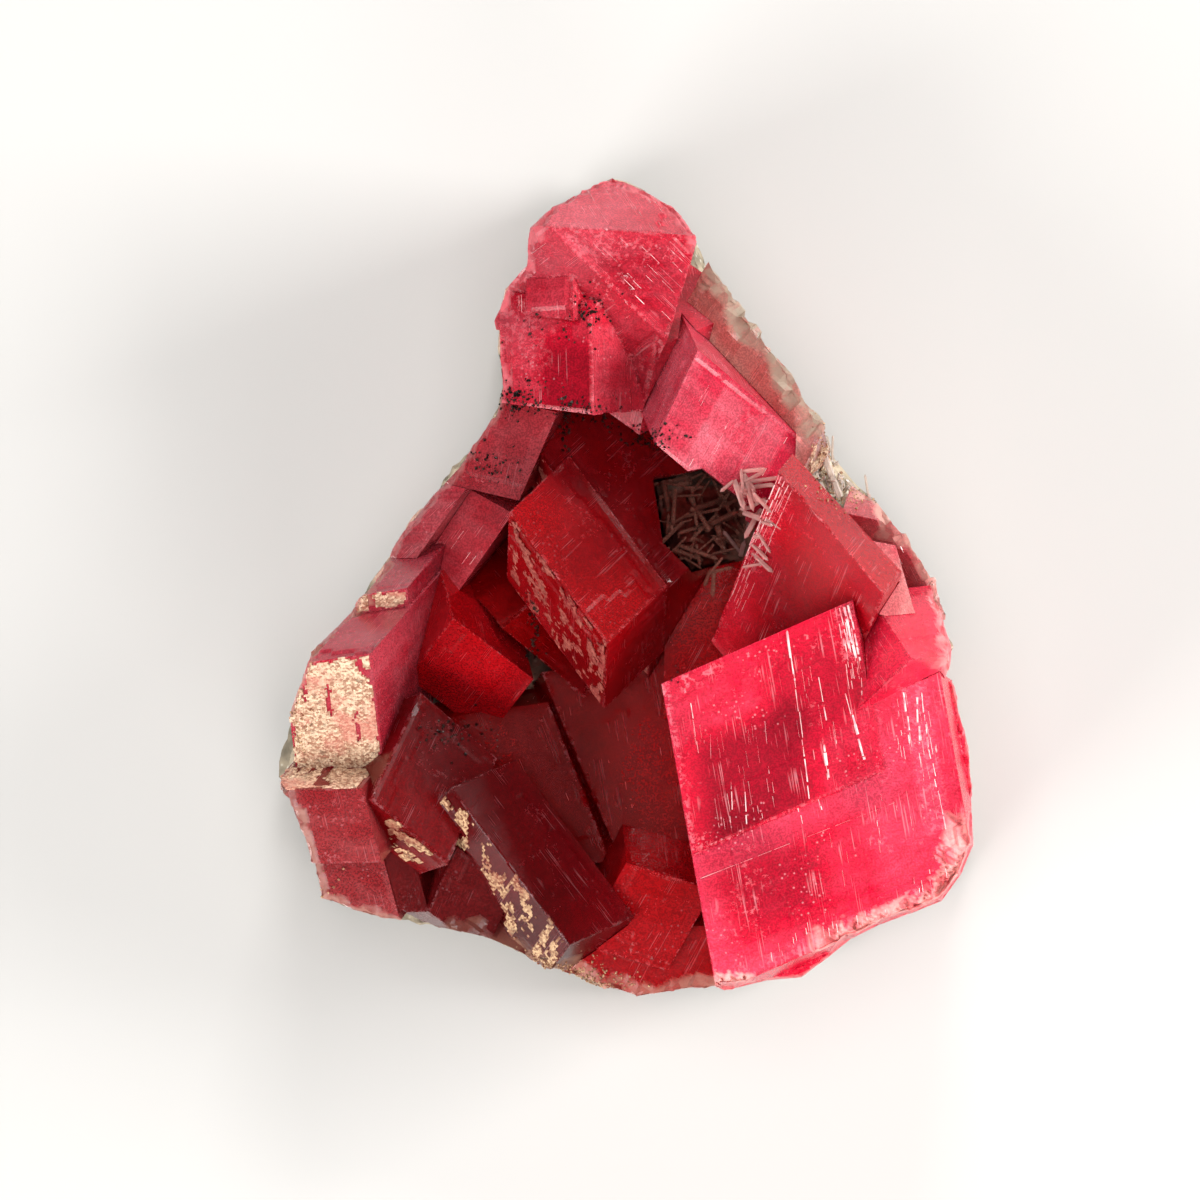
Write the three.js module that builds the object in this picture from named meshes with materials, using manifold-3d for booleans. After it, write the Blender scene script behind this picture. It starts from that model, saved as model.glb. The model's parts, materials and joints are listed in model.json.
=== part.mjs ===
// Rhodochrosite specimen: cherry-red rhombs grown together on a flat-backed piece of matrix,
// with thin quartz needles in the pocket. Millimetres, +Z up. The specimen lies on its flat back
// at z = 0, and the origin is the middle of its outline on that back.
import * as THREE from "three";
import { mergeVertices } from "three/addons/utils/BufferGeometryUtils.js";
import Module from "manifold-3d";

const wasm = await Module();
wasm.setup();

// Driving dimensions
const BLUNT_ANGLE = 103; // degrees between two edges at the blunt corner of a rhodochrosite rhomb
const CONTACT_GAP = 0.25; // between two pieces that grew against each other
const TALLEST = 45; // higher than any crystal reaches
const BEDROCK_TOP = 5; // height of the matrix that runs under every crystal
const MATRIX_TOP = 12; // height of the matrix between the crystals
const MATRIX_ROUGHNESS = 0.8; // how far the broken matrix strays from its smooth form
const RIM_ROUGHNESS = 0.4; // the same for the broken rim of the crystals
const RIM_STEPS = 72; // points round the outline
const NEEDLE_SIDES = 6;
const WELD = 1e-4; // vertices closer than this are one
const MIDDLE = [1, -6]; // x and y that the outline is measured around

// The outline of the specimen seen from above: x, y, from the top corner round by the right.
const OUTLINE = [
  [-1.5, 41], [3.5, 39], [5.5, 36.5], [7, 35.5], [7.5, 33], [11, 27.5], [14, 23.5], [18.5, 17],
  [20, 14.5], [22.5, 10], [25.5, 8], [30, 1], [32.5, -6], [32, -9], [33.5, -14], [34, -20],
  [34.5, -26], [32, -31], [24, -34], [21.5, -35], [19, -38.5], [9.5, -39.5], [1.5, -41],
  [-7.5, -38], [-15, -34.5], [-24, -33], [-31, -31], [-31, -27.5], [-34, -20], [-35, -18.5],
  [-33.5, -13], [-32, -7], [-27, -2], [-24, 3], [-20, 8.5], [-15, 14.5], [-12, 18.5],
  [-13, 24.5], [-13, 28.5], [-10, 32], [-9.5, 35.5], [-7.5, 38],
];

// How the outline narrows with height: share of the outline, height.
const RIM_PROFILE = [
  [0.9, 0], [0.95, 4], [0.985, 10], [1, 16], [1, 28], [0.96, 40], [0.95, TALLEST],
];
// The same for a piece of matrix, with its heights as shares of its own height.
const MATRIX_PROFILE = [
  [0.93, 0], [0.98, 0.3], [1.01, 0.6], [1.01, 0.85], [0.97, 1], [0.75, 1.03], [0.5, 1.02],
  [0.25, 1],
];

// Each growth is one crystal or several that overlap. A rhomb starts at its corner, is turned
// about x, y and z in degrees, and grows along its three edges by the lengths in grow, backwards
// where a length is negative. A break is a plane through a point: what lies on its far side is gone.
// The growths are listed from the one that grew past its neighbours to the one that stopped first.
const GROWTHS = [
  {
    name: "big_rhomb",
    color: 0xc81e3a,
    rhombs: [
      { corner: [3.5, -9.5, 37.5], turn: [-151, -43, -20], grow: [20.5, 17, -35] },
      { corner: [5.3, -19.6, 36.6], turn: [-151, -43, -20], grow: [28, 20.7, -34] },
      { corner: [5.5, -21, 32], turn: [-151, -43, -20], grow: [34, 22, -29] },
    ],
  },
  {
    name: "right_rhomb",
    color: 0xb81c34,
    rhombs: [{ corner: [28, -7, 39.5], turn: [-70, -23, -76], grow: [-11, 8, 14] }],
  },
  {
    name: "peak_rhomb",
    color: 0x9c1a28,
    rhombs: [
      {
        corner: [15, 11.5, 36],
        turn: [92, -75, 132],
        grow: [-25, 30, 16],
        breaks: [{ at: [16.5, 13, 32.5], facing: [0.72, 0.62, -0.3] }],
      },
    ],
  },
  {
    name: "right_edge_rhombs",
    color: 0xb43a4c,
    rhombs: [
      { corner: [22.5, 5, 33], turn: [98, -46, -35], grow: [5, -16, -8] },
      { corner: [21.5, 7.5, 29], turn: [93, -38, 21], grow: [10, -13, 16] },
    ],
  },
  {
    name: "upper_right_rhomb",
    color: 0xc42a44,
    rhombs: [{ corner: [7, 23.5, 34], turn: [-6, 70, -93], grow: [10, 28, -16] }],
  },
  {
    name: "slope_rhomb_upper",
    color: 0xbc3c56,
    rhombs: [{ corner: [-7, 17.5, 24.5], turn: [-52, -35, -151], grow: [9.5, -9, 21] }],
  },
  {
    name: "center_rhomb",
    color: 0xa8182c,
    rhombs: [
      { corner: [-2, -5.5, 34], turn: [-34, 66, 122], grow: [16.5, -10.5, 12] },
      { corner: [2.5, -1.5, 27], turn: [-34, 66, 122], grow: [21, -15, 20] },
    ],
  },
  {
    name: "crown_rhombs",
    color: 0xc0566c,
    rhombs: [
      {
        corner: [7, 35, 31],
        turn: [160, 24, -177],
        grow: [17, -14, -30],
        breaks: [{ at: [-2.5, 30, 29], facing: [-0.27, -0.53, 0.8] }],
      },
      { corner: [-3.5, 28.5, 29], turn: [-39, 14, 158], grow: [10, 11.5, 24] },
      { corner: [-5.5, 34.5, 28], turn: [-39, 14, 158], grow: [5, 8, 20] },
      { corner: [3, 24, 27], turn: [0, 8, 142], grow: [8, 9.5, 12] },
    ],
  },
  {
    name: "rim_rhomb",
    color: 0xb06070,
    rhombs: [{ corner: [8, 32.5, 24], turn: [43, -76, -23], grow: [20, -9, 20] }],
  },
  {
    name: "coated_rhomb",
    color: 0xbe4a64,
    rhombs: [
      { corner: [-25.5, -6.5, 31], turn: [70, 29, -160], grow: [9, 23, -15.5] },
      { corner: [-22, 0, 24.5], turn: [70, 29, -160], grow: [5.5, 12, -4] },
    ],
  },
  {
    name: "slope_rhomb_slab",
    color: 0xbc3c56,
    rhombs: [{ corner: [-15.5, 11, 21], turn: [-59, -29, -167], grow: [14, -4, 20] }],
  },
  {
    name: "slope_rhomb_lower",
    color: 0xbc3c56,
    rhombs: [{ corner: [-11.5, 7.5, 21], turn: [-50, -29, -163], grow: [14, -6, 20] }],
  },
  {
    name: "left_rim_rhombs",
    color: 0xb8485c,
    rhombs: [
      { corner: [-26.5, -20, 25], turn: [-31, 21, 179], grow: [9, 7.5, 24] },
      { corner: [-25, -25, 20.5], turn: [-31, 21, 179], grow: [9, 8.5, 18] },
    ],
  },
  {
    name: "dark_rhombs",
    color: 0x801824,
    rhombs: [
      { corner: [-17, -26, 22], turn: [23, -42, -40], grow: [7, -7, 18] },
      { corner: [-13, -29.5, 20.5], turn: [21, -43, -43], grow: [7, -7, 17] },
      { corner: [-21.5, -26.5, 20.5], turn: [-31, 21, 179], grow: [7, 6, 17] },
    ],
  },
  {
    name: "low_left_rhomb",
    color: 0xb03c50,
    rhombs: [{ corner: [-25.5, -21, 25], turn: [0, -25, -46], grow: [10, 12, 15] }],
  },
  {
    name: "low_center_rhomb",
    color: 0x8c1c2c,
    rhombs: [{ corner: [-17.5, -20, 25], turn: [28, 7, 128], grow: [-19.5, 16, 7.5] }],
  },
  {
    name: "recess_rhomb",
    color: 0x901828,
    rhombs: [{ corner: [-9.5, -9, 20], turn: [-124, 53, -138], grow: [10.5, -13, 10] }],
  },
  {
    name: "vug_rhomb",
    color: 0x7c1420,
    rhombs: [{ corner: [4, 1, 17], turn: [-145, -33, -11], grow: [10, 14, -12] }],
  },
  {
    name: "bottom_rhombs",
    color: 0x98202e,
    rhombs: [
      { corner: [0, -27.5, 21.5], turn: [-32, -19, -17], grow: [9, 18, 9.5] },
      { corner: [-7, -34.5, 19.5], turn: [-30, -27, 2], grow: [18, 16, 8] },
    ],
  },
  {
    name: "floor_rhombs",
    color: 0x70101c,
    rhombs: [
      { corner: [-8.5, -8.5, 15.5], turn: [41, -19, 8], grow: [17, -24, 10] },
      { corner: [-8, -11.5, 15.5], turn: [-37, 21, -172], grow: [12, 17, 17] },
      { corner: [-4, 4, 18], turn: [-37, 21, -130], grow: [12, 17, 10] },
    ],
  },
];

// Quartz needles: where each starts, which way it points from above and how steeply it rises in
// degrees, its length and its width.
const NEEDLES = [
  { start: [20.3, 8.4, 16], heading: 117, rise: 14, length: 7.5, width: 0.9 },
  { start: [21.4, 9.2, 16], heading: 111, rise: 8, length: 6, width: 0.7 },
  { start: [18.9, 8.2, 16.5], heading: 129, rise: 20, length: 4.5, width: 0.6 },
  { start: [11.4, 7.4, 15], heading: 66, rise: 28, length: 6, width: 0.7 },
  { start: [12.9, 7.2, 16], heading: 58, rise: 35, length: 5.5, width: 0.6 },
  { start: [4.2, 8, 9.5], heading: 100, rise: 55, length: 6, width: 0.6 },
  { start: [6.3, 9.4, 9.5], heading: 300, rise: 40, length: 5.5, width: 0.5 },
  { start: [7.4, 6, 9.5], heading: 25, rise: 50, length: 6.5, width: 0.6 },
  { start: [5.2, 4.4, 9.5], heading: 340, rise: 30, length: 5, width: 0.5 },
  { start: [9.6, 9, 9.5], heading: 200, rise: 60, length: 7, width: 0.6 },
  { start: [9.9, 3.6, 9.5], heading: 105, rise: 35, length: 5, width: 0.7 },
  { start: [7.6, 2.9, 9.5], heading: 160, rise: 45, length: 4.5, width: 0.5 },
];

// The pocket beside the center rhomb seen from above: x, y.
const POCKET = [[2.5, 11], [7.5, 12], [12, 8.5], [11.5, 3], [6.5, 1.5], [3.5, 4.5]];
const POCKET_FLOOR = 10;
const POCKET_SHARE = 0.93; // how much of the pocket's outline is free for matrix and needles
// The knob of matrix behind the peak rhomb: its middle, its radius and its top.
const KNOB = { middle: [17, 11], radius: 7, top: 18, detail: 4 };

const RED = { roughness: 0.2, metalness: 0 };
const QUARTZ = { color: 0xd8d4cc, roughness: 0.1, metalness: 0 };
const ROCK = { color: 0x968672, roughness: 0.9, metalness: 0 };

const radians = THREE.MathUtils.degToRad;

// The three edge directions of a rhomb that stands on its blunt corner's axis.
function edgeDirections() {
  const cosine = Math.cos(radians(BLUNT_ANGLE));
  const across = Math.sqrt((1 - cosine) / 1.5);
  const down = -Math.sqrt(1 - across * across);
  return [0, 120, 240].map(
    (a) => new THREE.Vector3(across * Math.cos(radians(a)), across * Math.sin(radians(a)), down),
  );
}

// A rhomb as a solid, with every face moved outwards by swell.
function rhombSolid({ corner, turn, grow, breaks = [] }, swell = 0) {
  const spin = new THREE.Euler(...turn.map(radians), "XYZ");
  const steps = edgeDirections().map((edge, k) =>
    edge.applyEuler(spin).multiplyScalar(Math.sign(grow[k])),
  );
  const start = new THREE.Vector3(...corner);
  const lengths = grow.map(Math.abs);
  steps.forEach((step, k) => {
    const normal = steps[(k + 1) % 3].clone().cross(steps[(k + 2) % 3]).normalize();
    const reach = swell / Math.abs(normal.dot(step));
    start.addScaledVector(step, -reach);
    lengths[k] += 2 * reach;
  });
  const edges = steps.map((step, k) => step.clone().multiplyScalar(lengths[k]));
  const basis = new THREE.Matrix4().makeBasis(...edges).setPosition(start);
  const box = new THREE.BoxGeometry(1, 1, 1).translate(0.5, 0.5, 0.5).applyMatrix4(basis);
  let solid = solidOf(box, basis.determinant() < 0);
  for (const { at, facing } of breaks) {
    const away = new THREE.Vector3(...facing).normalize();
    const reach = away.dot(new THREE.Vector3(...at)) + swell;
    solid = solid.trimByPlane(away.clone().negate().toArray(), -reach);
  }
  return solid;
}

// A geometry as a manifold-3d solid; mirrored says that its faces point inwards.
function solidOf(geometry, mirrored = false) {
  const bare = new THREE.BufferGeometry();
  bare.setAttribute("position", geometry.getAttribute("position"));
  if (geometry.index) bare.setIndex(geometry.index);
  const merged = mergeVertices(bare, WELD);
  const triVerts = new Uint32Array(merged.index.array);
  if (mirrored) triVerts.reverse();
  const vertProperties = new Float32Array(merged.attributes.position.array);
  return new wasm.Manifold(new wasm.Mesh({ numProp: 3, vertProperties, triVerts }));
}

function geometryOf(solid) {
  const mesh = solid.getMesh();
  const geometry = new THREE.BufferGeometry();
  geometry.setAttribute("position", new THREE.BufferAttribute(mesh.vertProperties, 3));
  geometry.setIndex(new THREE.BufferAttribute(mesh.triVerts, 1));
  geometry.computeVertexNormals();
  return geometry;
}

function largestBody(solid) {
  const bodies = solid.decompose();
  return bodies.reduce((a, b) => (b.volume() > a.volume() ? b : a));
}

function union(solids) {
  return solids.reduce((a, b) => a.add(b));
}

// A repeatable roughness between -1 and 1 for a place on the rock.
function roughAt(x, y, z) {
  const wave = Math.sin(x * 1.7 + y * 2.3 + z * 0.9) + Math.sin(x * 0.6 - y * 1.1 + z * 2.1 + 1);
  return (wave + Math.sin(y * 0.7 + x * 2.9 - z * 1.3 + 2)) / 3;
}

// Points at even steps round the outline, each as a THREE.Vector2 from the middle.
function outlinePoints() {
  const path = new THREE.Path(OUTLINE.map(([x, y]) => new THREE.Vector2(x, y)));
  path.closePath();
  const middle = new THREE.Vector2(...MIDDLE);
  return path.getSpacedPoints(RIM_STEPS).slice(0, RIM_STEPS).map((point) => point.sub(middle));
}

// A rough lump with the outline of the specimen, flat below at z = 0. The profile gives its share
// of the outline at each height, and swell moves its surface outwards.
function lump(profile, roughness, swell = 0) {
  const rim = outlinePoints();
  const positions = [];
  for (const [share, z] of profile)
    for (const point of rim) {
      const rough = roughness * roughAt(point.x, point.y, z);
      const reach = point.clone().setLength(point.length() * share + rough + swell);
      positions.push(MIDDLE[0] + reach.x, MIDDLE[1] + reach.y, z === 0 ? 0 : z + rough + swell);
    }
  const faces = [];
  const last = (profile.length - 1) * RIM_STEPS;
  for (let ring = 0; ring < last; ring += RIM_STEPS)
    for (let i = 0; i < RIM_STEPS; i++) {
      const a = ring + i;
      const b = ring + ((i + 1) % RIM_STEPS);
      faces.push(b, a, a + RIM_STEPS, b + RIM_STEPS, b, a + RIM_STEPS);
    }
  const bottom = positions.length / 3;
  positions.push(...MIDDLE, 0, ...MIDDLE, profile.at(-1)[1] + swell);
  for (let i = 0; i < RIM_STEPS; i++) {
    const next = (i + 1) % RIM_STEPS;
    faces.push(next, bottom, i, last + i, bottom + 1, last + next);
  }
  const geometry = new THREE.BufferGeometry();
  geometry.setAttribute("position", new THREE.Float32BufferAttribute(positions, 3));
  geometry.setIndex(faces);
  return solidOf(geometry);
}

// A rough piece of matrix of a height.
function matrixLump(height, swell = 0) {
  const profile = MATRIX_PROFILE.map(([share, lift]) => [share, lift * height]);
  return lump(profile, MATRIX_ROUGHNESS, swell);
}

// The pocket as a solid down to its floor; share draws its wall in towards its middle.
function pocketSolid(floor, share = 1) {
  const corners = POCKET.map(([x, y]) => new THREE.Vector2(x, y));
  const middle = corners.reduce((a, b) => a.clone().add(b)).divideScalar(corners.length);
  const outline = new THREE.Shape(corners.map((corner) => corner.lerp(middle, 1 - share)));
  const depth = TALLEST - floor;
  const pocket = new THREE.ExtrudeGeometry(outline, { depth, bevelEnabled: false });
  return solidOf(pocket.translate(0, 0, floor));
}

function knobSolid() {
  const { middle, radius, top, detail } = KNOB;
  const knob = new THREE.IcosahedronGeometry(1, detail).scale(radius, radius, top);
  const place = knob.getAttribute("position");
  for (let i = 0; i < place.count; i++) {
    const [x, y, z] = [place.getX(i), place.getY(i), place.getZ(i)];
    const grown = 1 + (MATRIX_ROUGHNESS * roughAt(x, y, z)) / radius;
    place.setXYZ(i, middle[0] + x * grown, middle[1] + y * grown, z * grown);
  }
  return solidOf(knob).trimByPlane([0, 0, 1], 0);
}

// A six-sided needle with a pyramid at its tip; swell widens it.
function needleSolid({ start, heading, rise, length, width }, swell = 0) {
  const radius = width / 2 + swell;
  const shoulder = length - width;
  const profile = [[0, 0], [radius, 0], [radius, shoulder], [0, length]];
  const points = profile.map(([r, y]) => new THREE.Vector2(r, y));
  const needle = new THREE.LatheGeometry(points, NEEDLE_SIDES);
  needle.rotateZ(radians(rise - 90));
  needle.rotateX(Math.PI / 2).rotateZ(radians(heading)).translate(...start);
  return solidOf(needle);
}

function meshOf(name, solid, finish) {
  const mesh = new THREE.Mesh(geometryOf(solid), new THREE.MeshStandardMaterial(finish));
  mesh.name = name;
  return mesh;
}

const specimen = new THREE.Group();
const room = lump(RIM_PROFILE, RIM_ROUGHNESS);
const bedrockRoom = matrixLump(BEDROCK_TOP, CONTACT_GAP);
const pocket = pocketSolid(0);
const pocketSpace = pocketSolid(0, POCKET_SHARE);
let taken = null;
for (const { name, color, rhombs } of GROWTHS) {
  let growth = union(rhombs.map((rhomb) => rhombSolid(rhomb)));
  growth = growth.intersect(room).subtract(bedrockRoom).subtract(pocket);
  if (taken) growth = growth.subtract(taken);
  specimen.add(meshOf(name, largestBody(growth), { color, ...RED }));
  const held = union(rhombs.map((rhomb) => rhombSolid(rhomb, CONTACT_GAP))).subtract(pocketSpace);
  taken = taken ? taken.add(held) : held;
}
let needleRoom = null;
NEEDLES.forEach((needle, i) => {
  let solid = needleSolid(needle).subtract(taken);
  if (needleRoom) solid = solid.subtract(needleRoom);
  specimen.add(meshOf("quartz_needle_" + (i + 1), largestBody(solid), QUARTZ));
  const held = needleSolid(needle, CONTACT_GAP);
  needleRoom = needleRoom ? needleRoom.add(held) : held;
});
const bedrock = matrixLump(BEDROCK_TOP);
const rock = matrixLump(MATRIX_TOP).add(knobSolid());
const rockKept = rock.intersect(room).subtract(taken).subtract(pocketSolid(POCKET_FLOOR));
const matrix = rockKept.add(bedrock).subtract(needleRoom);
specimen.add(meshOf("matrix", largestBody(matrix), ROCK));

// The origin is the middle of the outline's box on the flat back.
const middle = new THREE.Box3().setFromObject(specimen).getCenter(new THREE.Vector3());
for (const mesh of specimen.children) mesh.geometry.translate(-middle.x, -middle.y, 0);

export default specimen;
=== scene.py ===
"""Rhodochrosite specimen: cherry-red rhombs on matrix, with quartz needles, crusts and dark grains.

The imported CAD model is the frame. Each crystal growth is made again as a finely meshed body with
growth steps, worn edges and a broken rim, the matrix gets its grain, and the small things that the
CAD leaves out are added: growth lines, fine needles, crusts and grains. Lengths are in metres
unless a comment says mm.
"""
import json
import math
import random
from collections import namedtuple

import bmesh
import bpy
import numpy as np
from mathutils import Matrix, Vector, noise
from mathutils.bvhtree import BVHTree
from mathutils.geometry import delaunay_2d_cdt
from mathutils.kdtree import KDTree

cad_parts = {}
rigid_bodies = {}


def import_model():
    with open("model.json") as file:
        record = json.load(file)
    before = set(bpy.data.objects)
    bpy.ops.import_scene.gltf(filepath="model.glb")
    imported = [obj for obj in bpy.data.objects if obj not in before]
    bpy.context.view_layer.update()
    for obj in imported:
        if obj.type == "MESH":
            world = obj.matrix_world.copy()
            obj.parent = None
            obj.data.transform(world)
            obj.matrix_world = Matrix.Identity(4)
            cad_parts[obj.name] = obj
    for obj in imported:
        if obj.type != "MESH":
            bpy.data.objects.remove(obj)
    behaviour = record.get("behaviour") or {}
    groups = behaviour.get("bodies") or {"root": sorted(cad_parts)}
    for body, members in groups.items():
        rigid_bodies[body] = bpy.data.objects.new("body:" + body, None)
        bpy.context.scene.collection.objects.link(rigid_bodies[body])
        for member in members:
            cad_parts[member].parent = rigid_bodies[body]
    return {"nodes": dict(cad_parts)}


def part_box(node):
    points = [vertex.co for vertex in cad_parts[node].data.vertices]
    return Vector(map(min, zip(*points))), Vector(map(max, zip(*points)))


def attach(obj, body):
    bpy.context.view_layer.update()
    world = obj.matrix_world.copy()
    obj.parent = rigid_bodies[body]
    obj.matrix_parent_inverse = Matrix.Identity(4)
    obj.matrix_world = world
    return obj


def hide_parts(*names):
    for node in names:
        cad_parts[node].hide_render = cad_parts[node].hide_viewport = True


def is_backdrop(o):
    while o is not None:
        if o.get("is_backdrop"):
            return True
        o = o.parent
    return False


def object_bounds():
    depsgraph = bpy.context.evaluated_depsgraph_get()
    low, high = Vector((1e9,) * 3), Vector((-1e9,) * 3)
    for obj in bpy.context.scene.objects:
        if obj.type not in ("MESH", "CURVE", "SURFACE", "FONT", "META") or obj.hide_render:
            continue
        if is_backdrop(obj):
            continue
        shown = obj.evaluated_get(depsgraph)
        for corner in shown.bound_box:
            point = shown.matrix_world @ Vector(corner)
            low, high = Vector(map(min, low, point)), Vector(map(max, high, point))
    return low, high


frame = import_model()
CAD_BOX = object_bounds()
NODES = frame["nodes"]

MM = 0.001
ABOVE = 0.06  # a height over the whole specimen, from which things are dropped
DOWN = Vector((0, 0, -1))
MERGE_REACH = 0.002 * MM  # corners nearer than this are one corner
CONTACT_CLOSE = 0.1 * MM  # how far each crystal grows back into the contact gap
CONTACT_REACH = 0.6 * MM  # a face with a neighbour nearer than this is a contact face
CONTACT_SHARE = 0.6  # share of a face's spots that have a neighbour if it is a contact face
WORN_EDGE = 0.1 * MM  # how far an edge is worn back at most places
RIM_BREAK = 0.22 * MM  # roughness of the broken rim

MATRIX_ROUNDS = 5  # how often the matrix's long edges are halved at most
MATRIX_SPACING = 0.9  # mm between mesh points of the matrix
CRUST_SPACING = 0.25  # the same for a crust
POCKET_REACH = 5.5  # mm from the middle of the pocket to its wall
POCKET_NEEDLES = 70
EDGE_PRISMS = 30
RIM_NEEDLE_TRIES = 150
INNER_REACH = 4.5  # mm from the outline, beyond which the matrix gets painted shade: darker and redder
INNER_TURN = 1.05  # angle between the six places round a point where the outline is looked for
ABSORPTION = 130.0  # per metre
ABSORPTION_COLOR = (0.96, 0.24, 0.3, 1)
CRYSTAL_IOR = 1.6
# Whitish pink of growth lines, frost, scuffs and worn places, and of the painted highlight along the
# shown crystal edges.
SCUFF_AND_HIGHLIGHT_COLOR = (0.93, 0.42, 0.46, 1)

# Soft area lights: name, place, size, power, whether faces mirror it and whether it shines
# through crystals.
LIGHTS = [
    ("key_light", (0.68, 0.12, 0.34), 0.35, 8.5, False, True),
    ("left_light", (-0.45, -0.32, 0.34), 0.35, 4.5, False, True),
    ("front_light", (0.2, -0.6, 0.36), 0.4, 2.5, False, False),
    ("glint_light", (0.04, 0.62, 0.4), 0.2, 2.6, True, True),
    ("top_light", (0.0, 0.05, 0.9), 0.5, 5.0, False, False),
]

# Clusters of dark sulfide grains and of cream grains: crystal, the cluster's middle as shares of
# the crystal's box from the left and from the front, its spread in mm, and how many grains.
DARK_SIZES = (0.14, 0.5)  # least and most mm across
PALE_SIZES = (0.12, 0.42)
DARK_GRAINS = [
    ("crown_rhombs", 0.38, 0.48, (0.9, 1.0), 60),
    ("crown_rhombs", 0.2, 0.4, (2.2, 1.4), 22),
    ("crown_rhombs", 0.1, 0.14, (1.3, 0.8), 110),
    ("crown_rhombs", 0.3, 0.1, (2.6, 0.5), 70),
    ("center_rhomb", 0.62, 0.77, (1.6, 0.6), 90),
    ("center_rhomb", 0.42, 0.82, (1.0, 0.8), 24),
    ("slope_rhomb_upper", 0.28, 0.24, (1.4, 1.0), 50),
    ("slope_rhomb_upper", 0.72, 0.5, (0.3, 1.6), 70),
    ("low_left_rhomb", 0.69, 0.77, (2.2, 1.0), 70),
    ("center_rhomb", 0.12, 0.22, (0.4, 2.2), 60),
    ("big_rhomb", 0.05, 0.82, (0.8, 0.8), 6),
]
PALE_GRAINS = [
    ("dark_rhombs", 0.3, 0.04, (4.0, 0.7), 420),
    ("low_center_rhomb", 0.6, 0.02, (3.0, 0.8), 420),
    ("bottom_rhombs", 0.3, 0.04, (2.6, 0.7), 420),
    ("rim_rhomb", 0.95, 0.12, (0.6, 1.6), 160),
    ("right_edge_rhombs", 0.2, 0.95, (1.4, 0.7), 120),
    ("coated_rhomb", 0.04, 0.2, (0.6, 1.4), 90),
    ("left_rim_rhombs", 0.15, 0.1, (1.6, 1.6), 120),
]

# Where the camera stands: straight above the specimen as it lies, a long lens away.
CAMERA_AT = (-2.5 * MM, -1.6 * MM, 1.2)
CAMERA_LENS = 353.4
ROOM_LIGHT = 0.07  # light from all round
BACKDROP_GLOW = 0.85  # brightness of the far floor and of the backdrop, for the camera alone


def rgb(red, green, blue):
    """A display colour from 0 to 255 as the linear colour that a shader takes."""

    def linear(channel):
        channel /= 255
        return channel / 12.92 if channel <= 0.04045 else ((channel + 0.055) / 1.055) ** 2.4

    return (linear(red), linear(green), linear(blue), 1.0)


BACKDROP_COLOR = rgb(236, 235, 232)

Look = namedtuple("Look", "deep pale veil frost lines clear step rim_width rim_slope rim_color")
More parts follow.
